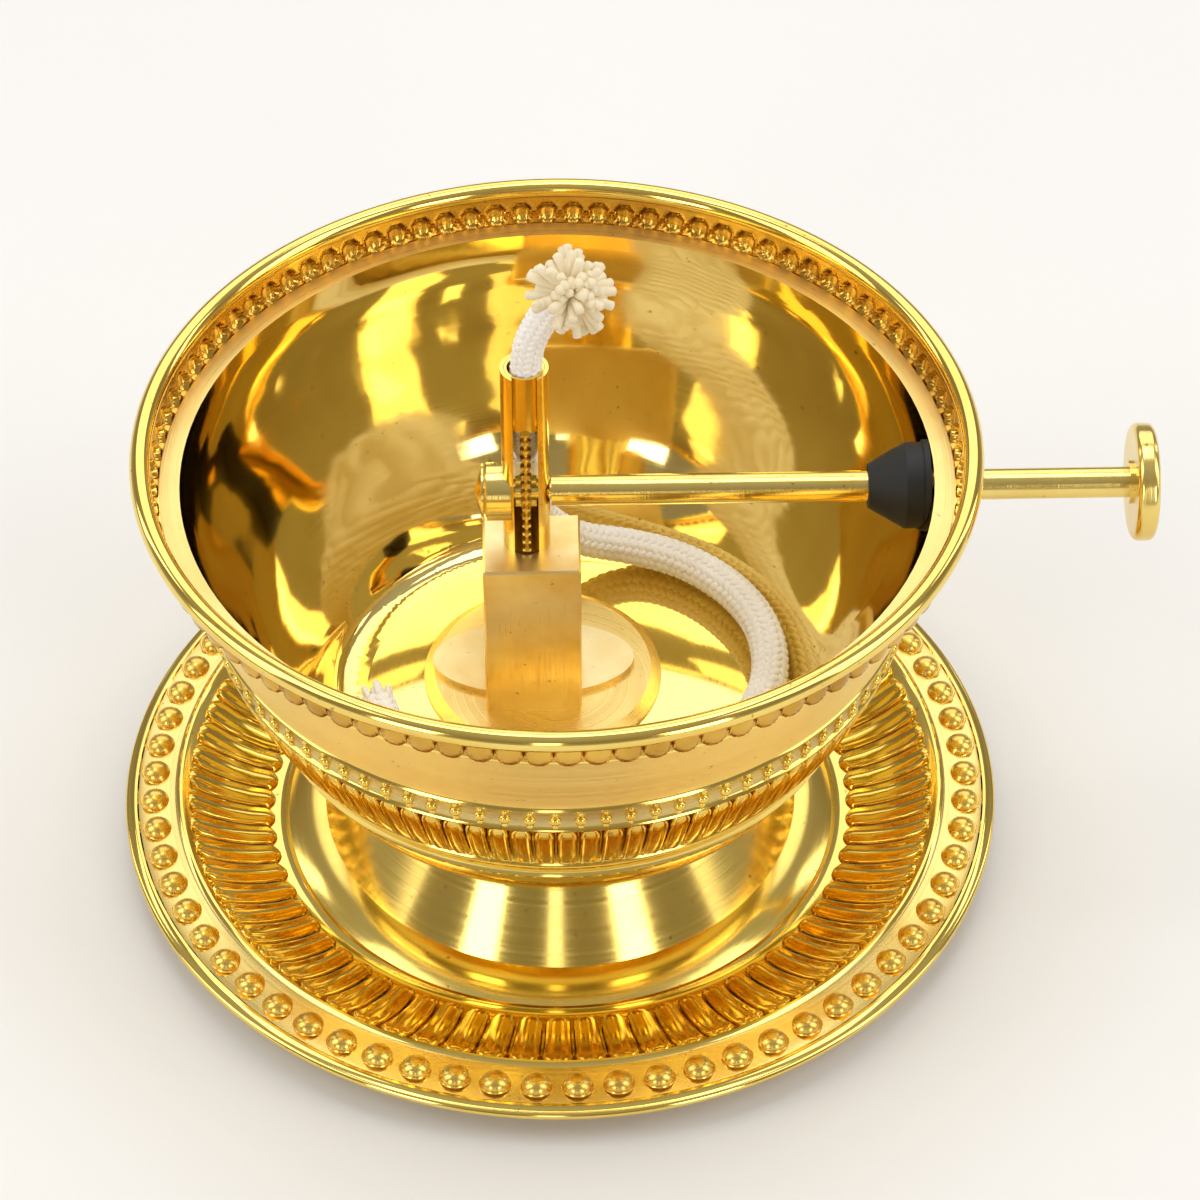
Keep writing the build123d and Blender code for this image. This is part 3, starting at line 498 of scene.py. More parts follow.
def make_finishes():
    """Every finish of the lamp, by a maker's plain name."""
    colours = bpy.context.scene.oil_lamp_colours
    made = {}
    # Spun sheet brass, buffed: sharp reflections, broken only by hair-fine rings from the wheel.
    made["spun_brass"] = brass("spun brass, buffed", "#F6DB78", "#E2B14C", 0.07, 0.5, 0.12, UPRIGHT)
    # The same sheet left off the wheel: a soft sheen with rings that show.
    made["satin_brass"] = brass("spun brass, satin", "#FFE490", "#F4CE72", 0.42, 0.35, 0.45, UPRIGHT, 0.5)
    # Brushed round while it turns: rings that catch the light as fine streaks.
    made["brushed_brass"] = brass(
        "spun brass, brushed", "#F0D488", "#D8B060", 0.30, 0.25, 0.8, UPRIGHT, 0.4)
    # Raised work is buffed brightest and keeps polish residue in its corners.
    made["pressed_brass"] = brass("pressed brass, buffed",
                                  "#F4D468", "#D8A43C", 0.10, 0.4, 0.10, UPRIGHT, 0.6)
    # Pressed from a dull sheet and never buffed inside, so rougher; its colour is painted darker as the
    # shade in the band under the rolled rim, its beads softly lit.
    made["beaded_brass"] = brass("pressed brass, belt with painted shade", "#E4B650", "#A87624", 0.18, 0.4, 0.10, UPRIGHT, 0.7)
    # Domes pressed up from the flange: one soft highlight each.
    made["domed_brass"] = brass("pressed brass, domes", "#F0CC68", "#CE9A3A", 0.25, 0.4, 0.10, UPRIGHT, 0.4)
    # The foot and the flange are buffed less than the bowl, so their reflections have soft edges.
    made["foot_brass"] = brass("spun brass, foot", "#F4D674", "#DEB04C", 0.12, 0.5, 0.12, UPRIGHT)
    made["flange_brass"] = brass("spun brass, flange", "#F8DC88", "#EABE62", 0.18, 0.5, 0.03, UPRIGHT, 0.3)
    # Old lacquer left between the beads: paler and a little green.
    made["lacquered_strip"] = brass("pressed brass, pale strip",
                                    "#E0D09A", "#C8B276", 0.30, 0.3, 0.3, UPRIGHT)
    # The liner is polished nearly to a mirror, for the flame.
    made["liner_brass"] = brass("spun brass, liner",
                                "#F8DF8E", "#E6BC5E", 0.05, 0.6, 0.008, UPRIGHT, 0.3, 0.03)
    # Milled bar, handled and oiled: pale, half dull and stained.
    made["milled_brass"] = brass("milled brass, scratched",
                                 "#FBE9B6", "#E8C678", 0.32, 0.3, 0.35, None, 0.9)
    # Drawn tube and turned rod: bright, with rings from the tool.
    made["drawn_brass"] = brass("drawn brass tube", "#FFE27C", "#EEBE54", 0.16, 0.3, 0.4, ALONG_TUBE)
    made["turned_brass"] = brass("turned brass", "#F2D880", "#DAAC4C", 0.17, 0.3, 0.6, ALONG_SHAFT)

    # Zinc-plated steel: grey, a little uneven, half dull.
    steel, tree, shader, here = new_finish("zinc-plated steel", {"Metallic": 1.0, "Roughness": 0.35})
    grain = add_node(tree, "ShaderNodeTexNoise", {"Scale": 900.0, "Detail": 4.0}, here)
    tone = add_node(tree, "ShaderNodeMix",
                    {"data_type": "RGBA", 6: hex_linear("#B9BCC0"), 7: hex_linear("#8E9297")},
                    {0: grain.outputs["Fac"]})
    tree.links.new(tone.outputs[2], shader.inputs["Base Color"])
    made["steel"] = steel

    # Moulded nitrile rubber: matt black with a faint bloom.
    rubber, tree, shader, here = new_finish("moulded rubber", {"Roughness": 0.62, "IOR": 1.52})
    bloom = add_node(tree, "ShaderNodeTexNoise", {"Scale": 160.0, "Detail": 5.0}, here)
    tone = add_node(tree, "ShaderNodeMix",
                    {"data_type": "RGBA", 6: hex_linear("#0C0B0A"), 7: hex_linear("#1A1816")},
                    {0: bloom.outputs["Fac"]})
    tree.links.new(tone.outputs[2], shader.inputs["Base Color"])
    bump = add_node(tree, "ShaderNodeBump", {"Strength": 0.35, "Distance": 0.1 * mm},
                    {"Height": bloom.outputs["Fac"]})
    tree.links.new(bump.outputs[0], shader.inputs["Normal"])
    made["rubber"] = rubber

    # Braided cotton: matt, warm white, with fibre fuzz that catches the light at its edges.
    cottons = (("cotton", colours.cotton, "#EEE6DA"), ("cotton_tuft", colours.tuft, "#D9C49A"))
    for name, pale, deep in cottons:
        cotton, tree, shader, here = new_finish(
            "braided " + name.replace("_", " "),
            {"Roughness": 0.9, "Sheen Weight": 0.35, "Sheen Roughness": 0.5, "Subsurface Weight": 0.08,
             "Subsurface Radius": (0.0012, 0.001, 0.0008), "Specular IOR Level": 0.25},
        )
        soil = add_node(tree, "ShaderNodeTexNoise", {"Scale": 70.0, "Detail": 5.0}, here)
        fibre = add_node(tree, "ShaderNodeTexNoise",
                         {"Scale": 2600.0, "Detail": 3.0, "Roughness": 0.7}, here)
        part = add_node(tree, "ShaderNodeMapRange", {"From Min": 0.42, "From Max": 0.75, "To Max": 0.5},
                        {"Value": soil.outputs["Fac"]})
        tone = add_node(tree, "ShaderNodeMix", {"data_type": "RGBA", 6: tuple(pale), 7: hex_linear(deep)},
                        {0: part.outputs[0]})
        tree.links.new(tone.outputs[2], shader.inputs["Base Color"])
        bump = add_node(tree, "ShaderNodeBump", {"Strength": 0.5, "Distance": 0.12 * mm},
                        {"Height": fibre.outputs["Fac"]})
        tree.links.new(bump.outputs[0], shader.inputs["Normal"])
        made[name] = cotton
    return made


FINISHES = {}


# ---- sizes and colours that a user would change ----------------------------------
class OilLampSizes(bpy.types.PropertyGroup):
    plate_domes: bpy.props.IntProperty(
        name="Plate domes", description="Domes round the drip plate's flange", default=66, min=12)
    plate_flutes: bpy.props.IntProperty(
        name="Plate flutes", description="Arched flutes round the drip plate's well", default=72, min=12)
    rim_beads: bpy.props.IntProperty(
        name="Rim beads", description="Large beads under the bowl's rolled rim", default=92, min=12)
    strip_beads: bpy.props.IntProperty(
        name="Strip beads", description="Small beads in the strip over the flutes", default=92, min=12)
    bowl_flutes: bpy.props.IntProperty(
        name="Bowl flutes", description="Upright flutes round the bowl", default=98, min=12)
    dome_radius: bpy.props.FloatProperty(
        name="Dome radius", description="Radius of a dome on the drip plate", default=3.55 * mm,
        unit="LENGTH", subtype="DISTANCE")
    wick_diameter: bpy.props.FloatProperty(
        name="Wick diameter", description="Diameter of the loose braid in the bowl", default=9.6 * mm,
        unit="LENGTH", subtype="DISTANCE")
    wick_length: bpy.props.FloatProperty(
        name="Wick tail length", description="Length of the loose wick, from the tube's window to its end",
        default=284 * mm, unit="LENGTH", subtype="DISTANCE")
    tuft_petals: bpy.props.IntProperty(
        name="Tuft petals", description="Blunt yarn ends in the frayed tuft", default=84, min=12)


class OilLampColours(bpy.types.PropertyGroup):
    cotton: bpy.props.FloatVectorProperty(
        name="Cotton", description="Clean braided cotton", size=4, subtype="COLOR",
        default=hex_linear("#FFFCF8"))
    tuft: bpy.props.FloatVectorProperty(
        name="Tuft", description="Cotton at the frayed tuft", size=4, subtype="COLOR",
        default=hex_linear("#F4E6C4"))
    floor: bpy.props.FloatVectorProperty(
        name="Floor", description="Studio floor", size=4, subtype="COLOR", default=hex_linear("#EEEDEB"))


# ---- stage -----------------------------------------------------------------------
class OILLAMP_OT_stage(bpy.types.Operator):
    """Adds the camera, the pale floor and the soft studio light"""
    bl_idname = "oil_lamp.stage"
    bl_label = "Stage"

    def execute(self, context):
        scene = context.scene
        deselect()
        bpy.ops.object.camera_add(location=CAMERA_PLACE, rotation=(math.radians(90 - CAMERA_DIP), 0, 0))
        camera = context.object
        camera.name = "camera"
        camera.data.lens = 120
        camera.data.sensor_width = 36
        scene.camera = camera

        bpy.ops.mesh.primitive_grid_add(x_subdivisions=24, y_subdivisions=24, size=6, location=(0, 0, 0))
        floor = named("floor")
        material, tree, shader, here = new_finish("matt paper floor",
                                                  {"Roughness": 0.7, "Specular IOR Level": 0.25})
        grain = add_node(tree, "ShaderNodeTexNoise", {"Scale": 3.0, "Detail": 3.0}, here)
        clean = tuple(scene.oil_lamp_colours.floor)
        tone = add_node(tree, "ShaderNodeMix", {"data_type": "RGBA", 6: clean, 7: hex_linear("#ECEBE9")},
                        {0: grain.outputs["Fac"]})
        tree.links.new(tone.outputs[2], shader.inputs["Base Color"])
        floor.data.materials.append(material)

        for name, azimuth, away, high, width, height, glow in PANELS:
            angle = math.radians(azimuth)
            place = Vector((away * math.cos(angle), away * math.sin(angle), high))
            aim = (Vector(LIT_POINT) - place).to_track_quat("-Z", "Y").to_euler()
            bpy.ops.object.light_add(type="AREA", location=place, rotation=aim)
            light = context.object
            light.name = name
            light.data.shape = "RECTANGLE"
            light.data.size, light.data.size_y = width, height
            light.data.energy = glow * math.pi * width * height
            light.data.color = (0.985, 0.99, 1.0)

        world = bpy.data.worlds.new("studio")
        scene.world = world
        world.use_nodes = True
        tree = world.node_tree
        backdrop = tree.nodes["Background"]
        backdrop.inputs["Strength"].default_value = 1.0
        place = add_node(tree, "ShaderNodeTexCoord")
        parts = add_node(tree, "ShaderNodeSeparateXYZ", links={0: place.outputs["Generated"]})
        ramp = add_node(tree, "ShaderNodeValToRGB", links={"Fac": parts.outputs["Z"]})
        # The room round the lamp: pale below, brown at the height of the walls, pale overhead.
        stops = ramp.color_ramp.elements
        stops[0].position, stops[0].color = 0.0, (0.42, 0.40, 0.37, 1)
        stops[1].position, stops[1].color = 0.95, (0.46, 0.45, 0.43, 1)
        middle = stops.new(0.35)
        middle.color = (0.25, 0.215, 0.16, 1)
        tree.links.new(ramp.outputs["Color"], backdrop.inputs["Color"])
        scene.view_settings.view_transform = "Standard"
        scene.view_settings.look = "None"
        scene.view_settings.exposure = 0.0
        return {"FINISHED"}


# ---- wick ------------------------------------------------------------------------
class OILLAMP_OT_wick_tail(bpy.types.Operator):
    """Adds the loose braid that lies round the bowl, with its frayed end"""
    bl_idname = "oil_lamp.wick_tail"
    bl_label = "Wick tail"

    def execute(self, context):
        sizes = context.scene.oil_lamp_sizes
        points = route_points(TAIL_ROUTE, 0.8 * mm)
        along = np.linspace(0, 1, len(points))
        # The braid is drawn thin where it comes out of the tube's window.
        thin = np.interp(along, (0, 0.06, 0.2, 0.3, 1), (0.83, 0.83, 0.9, 1.0, 1.0))
        tail = braid("tail_braid", points, sizes.wick_diameter / 2, 12, 27 * mm, 1.12 * mm,
                     FINISHES["cotton"], thin)
        fray = self.fray(points)
        hand_over(tail, "lamp", "wick_cotton", None, "wick_tail")
        hand_over(fray, "lamp", "wick_cotton", FINISHES["cotton"], "wick_fray")
        return {"FINISHED"}

    def fray(self, points):
        """Short blunt yarn ends that fan out where the braid stops."""
        end = Vector(points[-1])
        ahead = (end - Vector(points[-8])).normalized()
        side = ahead.cross(Vector((0, 0, 1))).normalized()
        up = side.cross(ahead)
        yarns = []
        for i in range(34):
            ring = (i % 3 + 0.6) / 3.2
            angle = i * GOLDEN_ANGLE
            out = side * math.cos(angle) + up * math.sin(angle)
            reach = (4.2 + 2.2 * ((i * 7) % 5) / 5) * mm
            place = end - ahead * 2.0 * mm + out * ring * 3.6 * mm
            tip = place + ahead * reach + out * ring * 1.6 * mm
            yarns.append(yarn(place, tip, 0.75 * mm))
        return join("frayed_end", yarns)


def yarn(start, tip, radius):
    """One blunt yarn end: a rounded peg with a swollen tip."""
    axis = tip - start
    turn = axis.to_track_quat("Z", "Y").to_euler()
    deselect()
    bpy.ops.mesh.primitive_uv_sphere_add(segments=8, ring_count=6, radius=radius, location=(0, 0, 0))
    piece = bpy.context.object
    bpy.ops.object.mode_set(mode="EDIT")
    mesh = bmesh.from_edit_mesh(piece.data)
    for vertex in mesh.verts:
        vertex.select_set(vertex.co.z > 0.1 * radius)
    mesh.select_flush(True)
    bmesh.update_edit_mesh(piece.data)
    bpy.ops.transform.translate(value=(0, 0, axis.length - 0.6 * radius))
    bpy.ops.transform.resize(value=(1.15, 1.15, 0.75), center_override=(0, 0, axis.length))
    bpy.ops.object.mode_set(mode="OBJECT")
    bpy.ops.object.shade_smooth()
    piece.rotation_euler = turn
    piece.location = start
    return piece


class OILLAMP_OT_wick_head(bpy.types.Operator):
    """Adds the braid above the tube, the stretch inside it and the frayed tuft"""
    bl_idname = "oil_lamp.wick_head"
    bl_label = "Wick head"

    def execute(self, context):
        sizes = context.scene.oil_lamp_sizes
        points = route_points([from_burner(p) for p in HEAD_ROUTE], 0.7 * mm)
        head = braid("head_braid", points, HEAD_RADIUS * mm, 12, 21 * mm, 0.92 * mm, FINISHES["cotton"])
        hand_over(head, "lifter", "wick_cotton", None, "wick_head")
        points = route_points([from_burner(p) for p in CORE_ROUTE], 0.7 * mm)
        core = braid("core_braid", points, CORE_RADIUS * mm, 12, 19 * mm, 0.82 * mm, FINISHES["cotton"])
        hand_over(core, None, "wick_cotton", None, "wick_core")
        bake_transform(core)
        tuft = self.tuft(sizes.tuft_petals)
        hand_over(tuft, "lifter", "wick_cotton", FINISHES["cotton_tuft"], "wick_tuft")
        return {"FINISHED"}

    def tuft(self, count):
        """Blunt petals set in a spiral over a dome that faces forwards and up."""
        c, s = math.cos(BURNER_YAW), math.sin(BURNER_YAW)
        local = Vector((0.40, -0.60, 0.69)).normalized()
        facing = Vector((local.x * c - local.y * s, local.x * s + local.y * c, local.z))
        middle = Vector(from_burner((0.012, -0.006, 0.171)))
        side = facing.cross(Vector((0, 0, 1))).normalized()
        up = side.cross(facing)
        petals = []
        for i in range(count):
            share = (i + 0.5) / count
            tilt = math.radians(4 + 112 * share ** 0.8)
            angle = i * GOLDEN_ANGLE + 0.35 * math.sin(i * 7.31)
            spread = side * math.cos(angle) + up * math.sin(angle)
            out = facing * math.cos(tilt) + spread * math.sin(tilt)
            jitter = 0.86 + 0.14 * math.sin(i * 12.9898)
            root = middle - facing * 2.6 * mm + out * 1.0 * mm
            reach = (6.4 + 3.4 * math.sin(tilt)) * mm * jitter
            petals.append(yarn(root, root + out * reach, 1.12 * mm))
        return join("tuft_petals", petals)


# ---- drip plate ------------------------------------------------------------------
class OILLAMP_OT_drip_plate(bpy.types.Operator):
    """Adds the drip plate: its spun shell, arched flutes, ring lines and domes"""
    bl_idname = "oil_lamp.drip_plate"
    bl_label = "Drip plate"

    def execute(self, context):
        sizes = context.scene.oil_lamp_sizes
        sheet = 1.0
        lip = (108.9, 8.9)
        top = [(3.1, 8.0), (15.0, 8.0), (16.0, 7.9), (17.0, 7.2), (22.0, 1.9), (23.2, 1.0)]
        top += [(40.0, 1.0), (66.0, 1.0)]
        top += [(68.0, 1.0), (69.0, 1.5), (70.2, 1.9), (71.2, 1.5), (72.0, 1.35)]
        well = bowed(*PLATE_WELL, 18)
        top += [p for p in well if 73 < p[0] < 94.6]
        top += [(94.9, 12.1), (95.5, 12.75), (96.1, 12.75), (96.8, 12.15), (97.4, 12.0)]
        top += [(100, 11.6), (103, 11.1), (105.8, 10.55), (106.6, 10.35)]
        top += [(107.0, 10.65), (107.6, 10.6), (108.0, 10.2)]
        top += rounded(lip, 1.1, 80, -170, 14)
        under = [(107.6, 9.15), (97.0, 11.0), (95.0, 10.6)]
        under += [(p[0] + 0.45, p[1] - sheet) for p in reversed(well) if 73 < p[0] < 94]
        under += [(71.5, 0.0), (23.0, 0.0), (22.0, 0.3), (16.5, 6.4), (15.2, 7.0), (3.1, 7.0)]
        shell = lathe("plate_shell", top + under)
        flutes = self.flutes(sizes.plate_flutes)
        domes = self.domes(sizes.plate_domes, sizes.dome_radius / mm)
        shell.data.materials.append(FINISHES["spun_brass"])
        shell.data.materials.append(FINISHES["flange_brass"])
        for face in shell.data.polygons:
            if FLANGE_BAND[0] < math.hypot(face.center.x, face.center.y) / mm < FLANGE_BAND[1]:
                face.material_index = 1
        flutes.data.materials.append(FINISHES["pressed_brass"])
        domes.data.materials.append(FINISHES["domed_brass"])
        plate = join("plate_pressing", [shell, flutes, domes])
        smooth(plate)
        hand_over(plate, "lamp", "plate_brass", None, "drip_plate")
        return {"FINISHED"}

    def flutes(self, count):
        """Raised arches with a panel inside each, from the plain ring up the well wall."""
        well = bowed(*PLATE_WELL, 60)
        stations = []
        for share in (0.0, 0.02, 0.06, 0.12, 0.3, 0.5, 0.7, 0.88, 0.94, 0.98, 1.0):
            radius = PLATE_FLUTE_START + PLATE_FLUTE_LENGTH * share
            height = min(well, key=lambda p: abs(p[0] - radius))[1]
            width = PLATE_FLUTE_SHARE * radius * math.pi / count
            end = min(share / 0.13, (1 - share) / 0.12, 1)
            girth = math.sqrt(max(0.05, 1 - (1 - end) ** 2))
            stations.append((radius, height - 0.2, width * girth, PLATE_FLUTE_RISE * girth))
        lobe(stations, lying=True)
        bpy.ops.mesh.bisect(plane_co=(0, 0, 0.4 * mm), plane_no=(0, 0, 1), clear_inner=True, use_fill=True)
        ring_copies(count)
        tidy_shell()
        bpy.ops.object.mode_set(mode="OBJECT")
        return settle(named("plate_flutes"))

    def domes(self, count, radius):
        """Hemispheres on the flange, each with a crisp foot ring."""
        deselect()
        place = (DOME_RING[0] * mm, 0, DOME_RING[1] * mm)
        bpy.ops.mesh.primitive_uv_sphere_add(segments=20, ring_count=12, radius=radius * mm,
                                             location=(0, 0, 0))
        bpy.ops.object.mode_set(mode="EDIT")
        bpy.ops.transform.resize(value=(1, 1, DOME_FLATTENING), center_override=(0, 0, 0))
        bpy.ops.mesh.bisect(plane_co=(0, 0, -0.15 * mm), plane_no=(0, 0, 1), clear_inner=True,
                            use_fill=True)
        bpy.ops.mesh.primitive_torus_add(major_segments=20, minor_segments=6,
                                         major_radius=(radius + 0.1) * mm,
                                         minor_radius=DOME_FOOT_ROLL * mm, location=(0, 0, 0))
        bpy.ops.mesh.select_all(action="SELECT")
        bpy.ops.transform.rotate(value=FLANGE_SLOPE, orient_axis="Y", center_override=(0, 0, 0))
        bpy.ops.transform.translate(value=place)
        ring_copies(count)
        tidy_shell()
        bpy.ops.object.mode_set(mode="OBJECT")
        return settle(named("plate_domes"))


# ---- outer bowl ------------------------------------------------------------------
class OILLAMP_OT_outer_bowl(bpy.types.Operator):
    """Adds the outer bowl: spun wall, rolled rim, beads, pearl strip and flutes"""
    bl_idname = "oil_lamp.outer_bowl"
    bl_label = "Outer bowl"

    def execute(self, context):
        sizes = context.scene.oil_lamp_sizes
        rim = (97.6, 122.4)
        outside = [(3.1, 22.6), (44.6, 22.6), (45.0, 22.6)]
        underside = bowed(*BOWL_UNDERSIDE, 16)
        outside += underside
        outside += [(71.3, 50.5), (72.3, 50.9), (72.5, 51.5), (72.2, 52.1), (72.0, 52.6)]
        outside += [(72.7, 54.6), (73.4, 56.2), (74.2, 56.8), (74.4, 57.4), (74.1, 57.9)]
        flute_wall = bowed(*FLUTE_WALL, 10)
        outside += [(p[0] - 0.5, p[1]) for p in flute_wall if 58.5 < p[1] < 78]
        outside += [(83.4, 78.7), (84.1, 79.0), (84.3, 79.5), (84.0, 80.0), (83.6, 80.3)]
        outside += [(84.4, 86.1), (84.6, 86.4), (85.1, 86.5), (85.3, 86.9), (85.1, 87.3), (84.8, 87.6)]
        outside += [(86.6, 92.3), (90.1, 101.0), (93.6, 109.8), (94.4, 111.8), (94.2, 112.3), (94.3, 113.2)]
        inside = [(93.2, 113.2), (92.6, 109.8), (89.1, 101.4), (85.6, 92.7), (83.4, 86.9), (82.2, 79.6)]
        inside += [(p[0] - 1.5, p[1] + 0.2) for p in reversed(flute_wall) if 58 < p[1] < 78]
        inside += [(71.4, 54.0), (70.2, 51.0)]
        inside += [(p[0] - 0.7, p[1] + 0.75) for p in reversed(underside[:-1])]
        inside += [(44.4, 23.6), (3.1, 23.6)]
        wall = lathe("bowl_wall", outside + inside)
        self.bore(wall)
        roll = lathe("bowl_rim", rounded(rim, 2.4, 0, 345, 23))
        belt = self.bead_belt(sizes.rim_beads)
        strip = self.pearl_strip(sizes.strip_beads)
        flutes = self.flutes(sizes.bowl_flutes)
        wall.data.materials.append(FINISHES["spun_brass"])
        wall.data.materials.append(FINISHES["satin_brass"])
        wall.data.materials.append(FINISHES["lacquered_strip"])
        for face in wall.data.polygons:
            height, spread = face.center.z / mm, math.hypot(face.center.x, face.center.y) / mm
            outer = spread > 83.0 + (height - 86) * 0.38
            if SATIN_BAND[0] < height < SATIN_BAND[1] and outer:
                face.material_index = 1
            elif STRIP_BAND[0] < height < STRIP_BAND[1] and spread > 83.2:
                face.material_index = 2
        roll.data.materials.append(FINISHES["spun_brass"])
        # The belt's finish carries painted shade: a darker colour for the band under the rim.
        belt.data.materials.append(FINISHES["beaded_brass"])
        strip.data.materials.append(FINISHES["pressed_brass"])
        flutes.data.materials.append(FINISHES["pressed_brass"])
        bowl = join("bowl_pressing", [wall, roll, flutes])
        smooth(bowl)
        hand_over(bowl, "lamp", "bowl_brass", None, "outer_bowl")
        beading = join("bowl_beading", [belt, strip])
        smooth(beading)
        hand_over(beading, "lamp", "bowl_brass", None)
        return {"FINISHED"}

    def bead_belt(self, count):
        """The wall under the rim, pushed out in beads that show as cups inside."""
        rows = 18
        low, high = (94.2, 112.9), (96.3, 121.2)
        profile = [(low[0] + (high[0] - low[0]) * i / rows, low[1] + (high[1] - low[1]) * i / rows)
                   for i in range(rows + 1)]
        trace(profile)
        bpy.ops.mesh.select_all(action="SELECT")
        bpy.ops.mesh.spin(steps=16, angle=FULL_TURN / count, center=(0, 0, 0), axis=(0, 0, 1))
        piece = bpy.context.object
        mesh = bmesh.from_edit_mesh(piece.data)
        half = -FULL_TURN / count / 2       # a spin runs clockwise
        out, height = BEAD_CENTRE
        target = Vector((out * math.cos(half), out * math.sin(half), height)) * mm
        outward = Vector((math.cos(half), math.sin(half), -0.22)).normalized()
        across = Vector((-math.sin(half), math.cos(half), 0))
        rings = 9
        for ring in range(rings):
            inner, outer = 1 - (ring + 1) / rings, 1 - ring / rings
            for vertex in mesh.verts:
                apart = vertex.co - target
                aside = apart.dot(across) / (BEAD_HALF_WIDTH * mm)
                along = (apart - across * apart.dot(across)).length / (BEAD_HALF_HEIGHT * mm)
                vertex.select_set(math.hypot(aside, along) < outer)
            mesh.select_flush(False)
            bmesh.update_edit_mesh(piece.data)
            rise = math.sqrt(1 - inner ** 2) - math.sqrt(1 - outer ** 2)
            bpy.ops.transform.translate(value=outward * BEAD_RISE * mm * rise)
        ring_copies(count)
        bpy.ops.mesh.select_all(action="SELECT")
        bpy.ops.mesh.remove_doubles(threshold=0.02 * mm)
        bpy.ops.mesh.normals_make_consistent(inside=False)
        bpy.ops.object.mode_set(mode="OBJECT")
        belt = named("bead_belt")
        thick = belt.modifiers.new("wall", "SOLIDIFY")
        thick.thickness = 0.9 * mm
        thick.offset = 0
        bpy.ops.object.modifier_apply(modifier=thick.name)
        return settle(belt)

    def pearl_strip(self, count):
        """Small round beads, each with a smaller one above and below."""
        deselect()
        pieces = []
        for height, size in STRIP_ROWS:
            wall = 83.7 + (height - 80.3) * 0.16
            bpy.ops.mesh.primitive_uv_sphere_add(segments=12, ring_count=8, radius=size * mm,
                                                 location=((wall + 0.1) * mm, 0, height * mm))
            bpy.context.object.scale = (0.8, 1, 0.92 if size > 1 else 1)
            pieces.append(bpy.context.object)
        bead = join("pearl_strip", pieces)
        bpy.ops.object.mode_set(mode="EDIT")
        ring_copies(count)
        bpy.ops.object.mode_set(mode="OBJECT")
        return bead

    def flutes(self, count):
        """Upright oval lobes side by side."""
        wall = bowed(*FLUTE_WALL, 60)
        stations = []
        for share in (0.0, 0.025, 0.08, 0.18, 0.35, 0.5, 0.65, 0.82, 0.92, 0.975, 1.0):
            height = BOWL_FLUTE_START + BOWL_FLUTE_LENGTH * share
            radius = min(wall, key=lambda p: abs(p[1] - height))[0]
            width = BOWL_FLUTE_SHARE * radius * math.pi / count
            end = min(share / 0.14, (1 - share) / 0.14, 1)
            girth = math.sqrt(max(0.04, 1 - (1 - end) ** 2))
            stations.append((radius - 0.35, height, width * girth, BOWL_FLUTE_RISE * girth))
        lobe(stations, lying=False)
        ring_copies(count)
        bpy.ops.object.mode_set(mode="OBJECT")
        return settle(named("bowl_flutes"))

    def bore(self, bowl):
        """Cuts the hole for the wall bush."""
        deselect()
        middle = from_burner((0.095, 0, SHAFT_HEIGHT * mm))
        bpy.ops.mesh.primitive_cylinder_add(vertices=64, radius=BUSH_HOLE_RADIUS * mm, depth=26 * mm,
                                            location=middle, rotation=(0, math.pi / 2, BURNER_YAW))
        drill = bpy.context.object
        hole = bowl.modifiers.new("hole", "BOOLEAN")
        hole.operation = "DIFFERENCE"
        hole.solver = "EXACT"
        hole.object = drill
        pick(bowl)
        bpy.ops.object.modifier_apply(modifier=hole.name)
        bpy.data.objects.remove(drill)


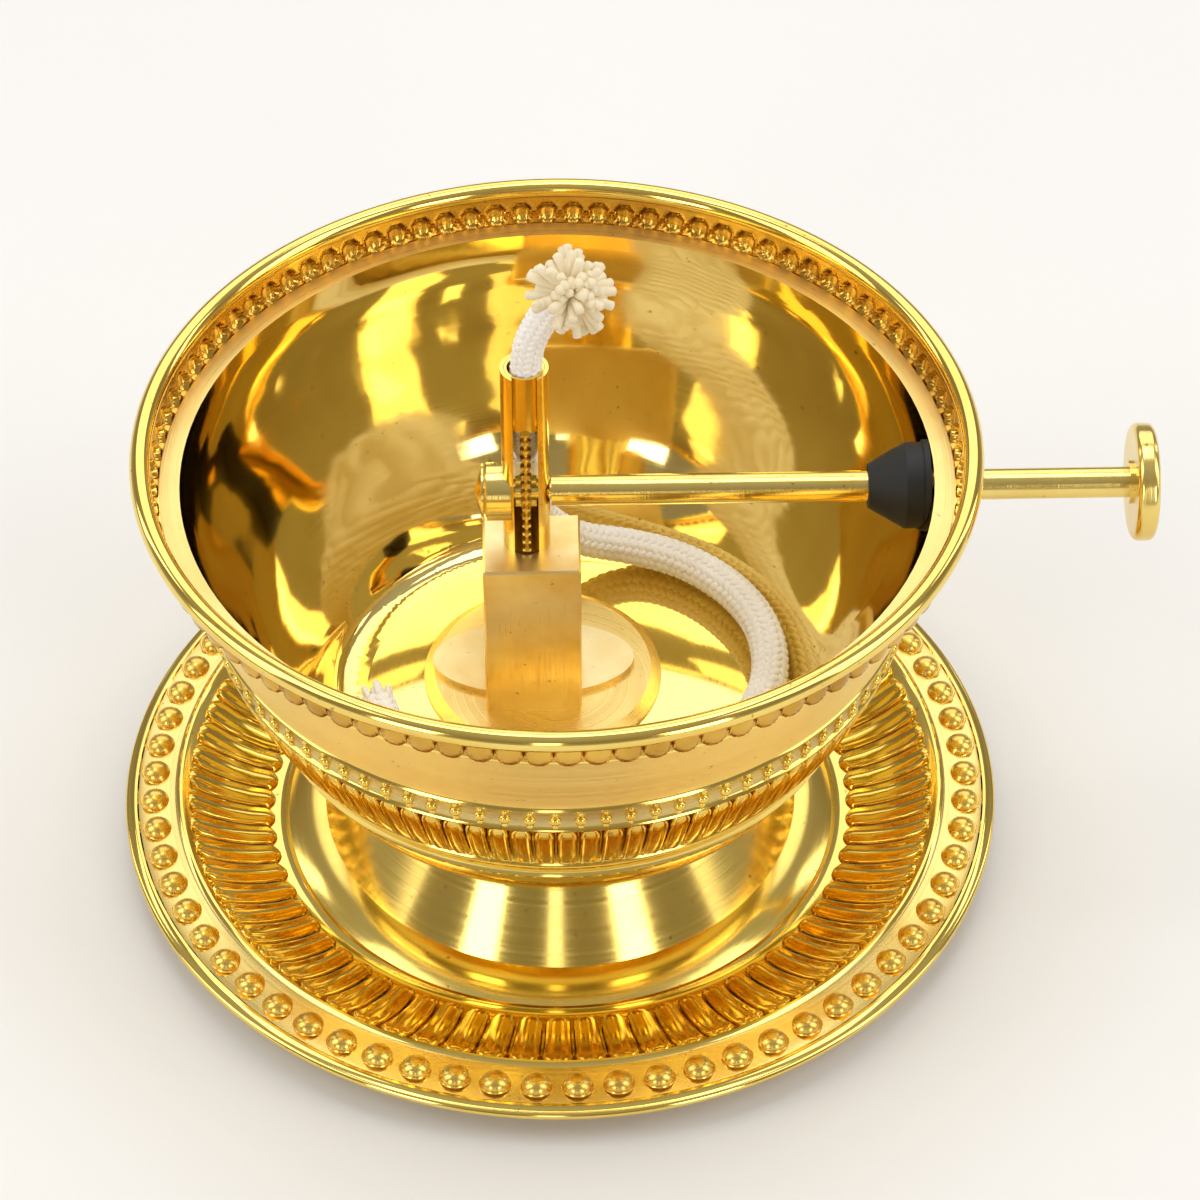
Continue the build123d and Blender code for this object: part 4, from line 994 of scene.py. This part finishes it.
# ---- finishes of the carried-over parts ------------------------------------------
class OILLAMP_OT_finishes(bpy.types.Operator):
    """Gives every carried-over part its own finish"""
    bl_idname = "oil_lamp.finishes"
    bl_label = "Finishes"

    def execute(self, context):
        wear = {
            "foot": "foot_brass", "neck_collar": "spun_brass", "rim_wire": "steel",
            "inner_bowl": "liner_brass", "stand_base": "brushed_brass", "stand_flange": "milled_brass",
            "stand_block": "milled_brass", "wick_tube": "drawn_brass", "wick_sleeve": "drawn_brass",
            "rack": "turned_brass", "pinion": "turned_brass", "drive_shaft": "turned_brass",
            "end_cap": "turned_brass", "bearing_boss": "turned_brass", "knob": "turned_brass",
            "knob_screw": "turned_brass", "wall_bush": "turned_brass", "bush_saddle": "turned_brass",
            "bush_nut": "turned_brass", "rubber_boot": "rubber",
        }
        for name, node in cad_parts.items():
            if node.hide_render:
                continue
            finish = FINISHES[wear.get(name, "steel")]
            if not node.material_slots:
                node.data.materials.append(finish)
            for slot in node.material_slots:
                slot.material = finish
        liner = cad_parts["inner_bowl"]
        liner.data.materials.append(FINISHES["brushed_brass"])
        for face in liner.data.polygons:
            spread = math.hypot(face.center.x, face.center.y) / mm
            if spread > LINER_RIM[0] and face.center.z / mm > LINER_RIM[1]:
                face.material_index = 1
        return {"FINISHED"}


class OILLAMP_PT_sidebar(bpy.types.Panel):
    bl_label = "Oil Lamp"
    bl_idname = "OILLAMP_PT_sidebar"
    bl_space_type = "VIEW_3D"
    bl_region_type = "UI"
    bl_category = "Oil Lamp"

    def draw(self, context):
        layout = self.layout
        for group in (context.scene.oil_lamp_sizes, context.scene.oil_lamp_colours):
            for name in group.bl_rna.properties.keys():
                if name not in ("rna_type", "name"):
                    layout.prop(group, name)
        for operator in STEPS:
            layout.operator(operator.bl_idname)


STEPS = (OILLAMP_OT_stage, OILLAMP_OT_wick_tail, OILLAMP_OT_drip_plate, OILLAMP_OT_outer_bowl,
         OILLAMP_OT_wick_head, OILLAMP_OT_finishes)
CLASSES = (OilLampSizes, OilLampColours, *STEPS, OILLAMP_PT_sidebar)


def register():
    for item in CLASSES:
        bpy.utils.register_class(item)
    bpy.types.Scene.oil_lamp_sizes = bpy.props.PointerProperty(type=OilLampSizes)
    bpy.types.Scene.oil_lamp_colours = bpy.props.PointerProperty(type=OilLampColours)


def unregister():
    del bpy.types.Scene.oil_lamp_colours
    del bpy.types.Scene.oil_lamp_sizes
    for item in reversed(CLASSES):
        bpy.utils.unregister_class(item)


def main():
    register()
    FINISHES.update(make_finishes())
    bpy.ops.oil_lamp.stage()
    bpy.ops.oil_lamp.wick_tail()
    bpy.ops.oil_lamp.drip_plate()
    bpy.ops.oil_lamp.outer_bowl()
    bpy.ops.oil_lamp.wick_head()
    bpy.ops.oil_lamp.finishes()


if __name__ == "__main__":
    main()
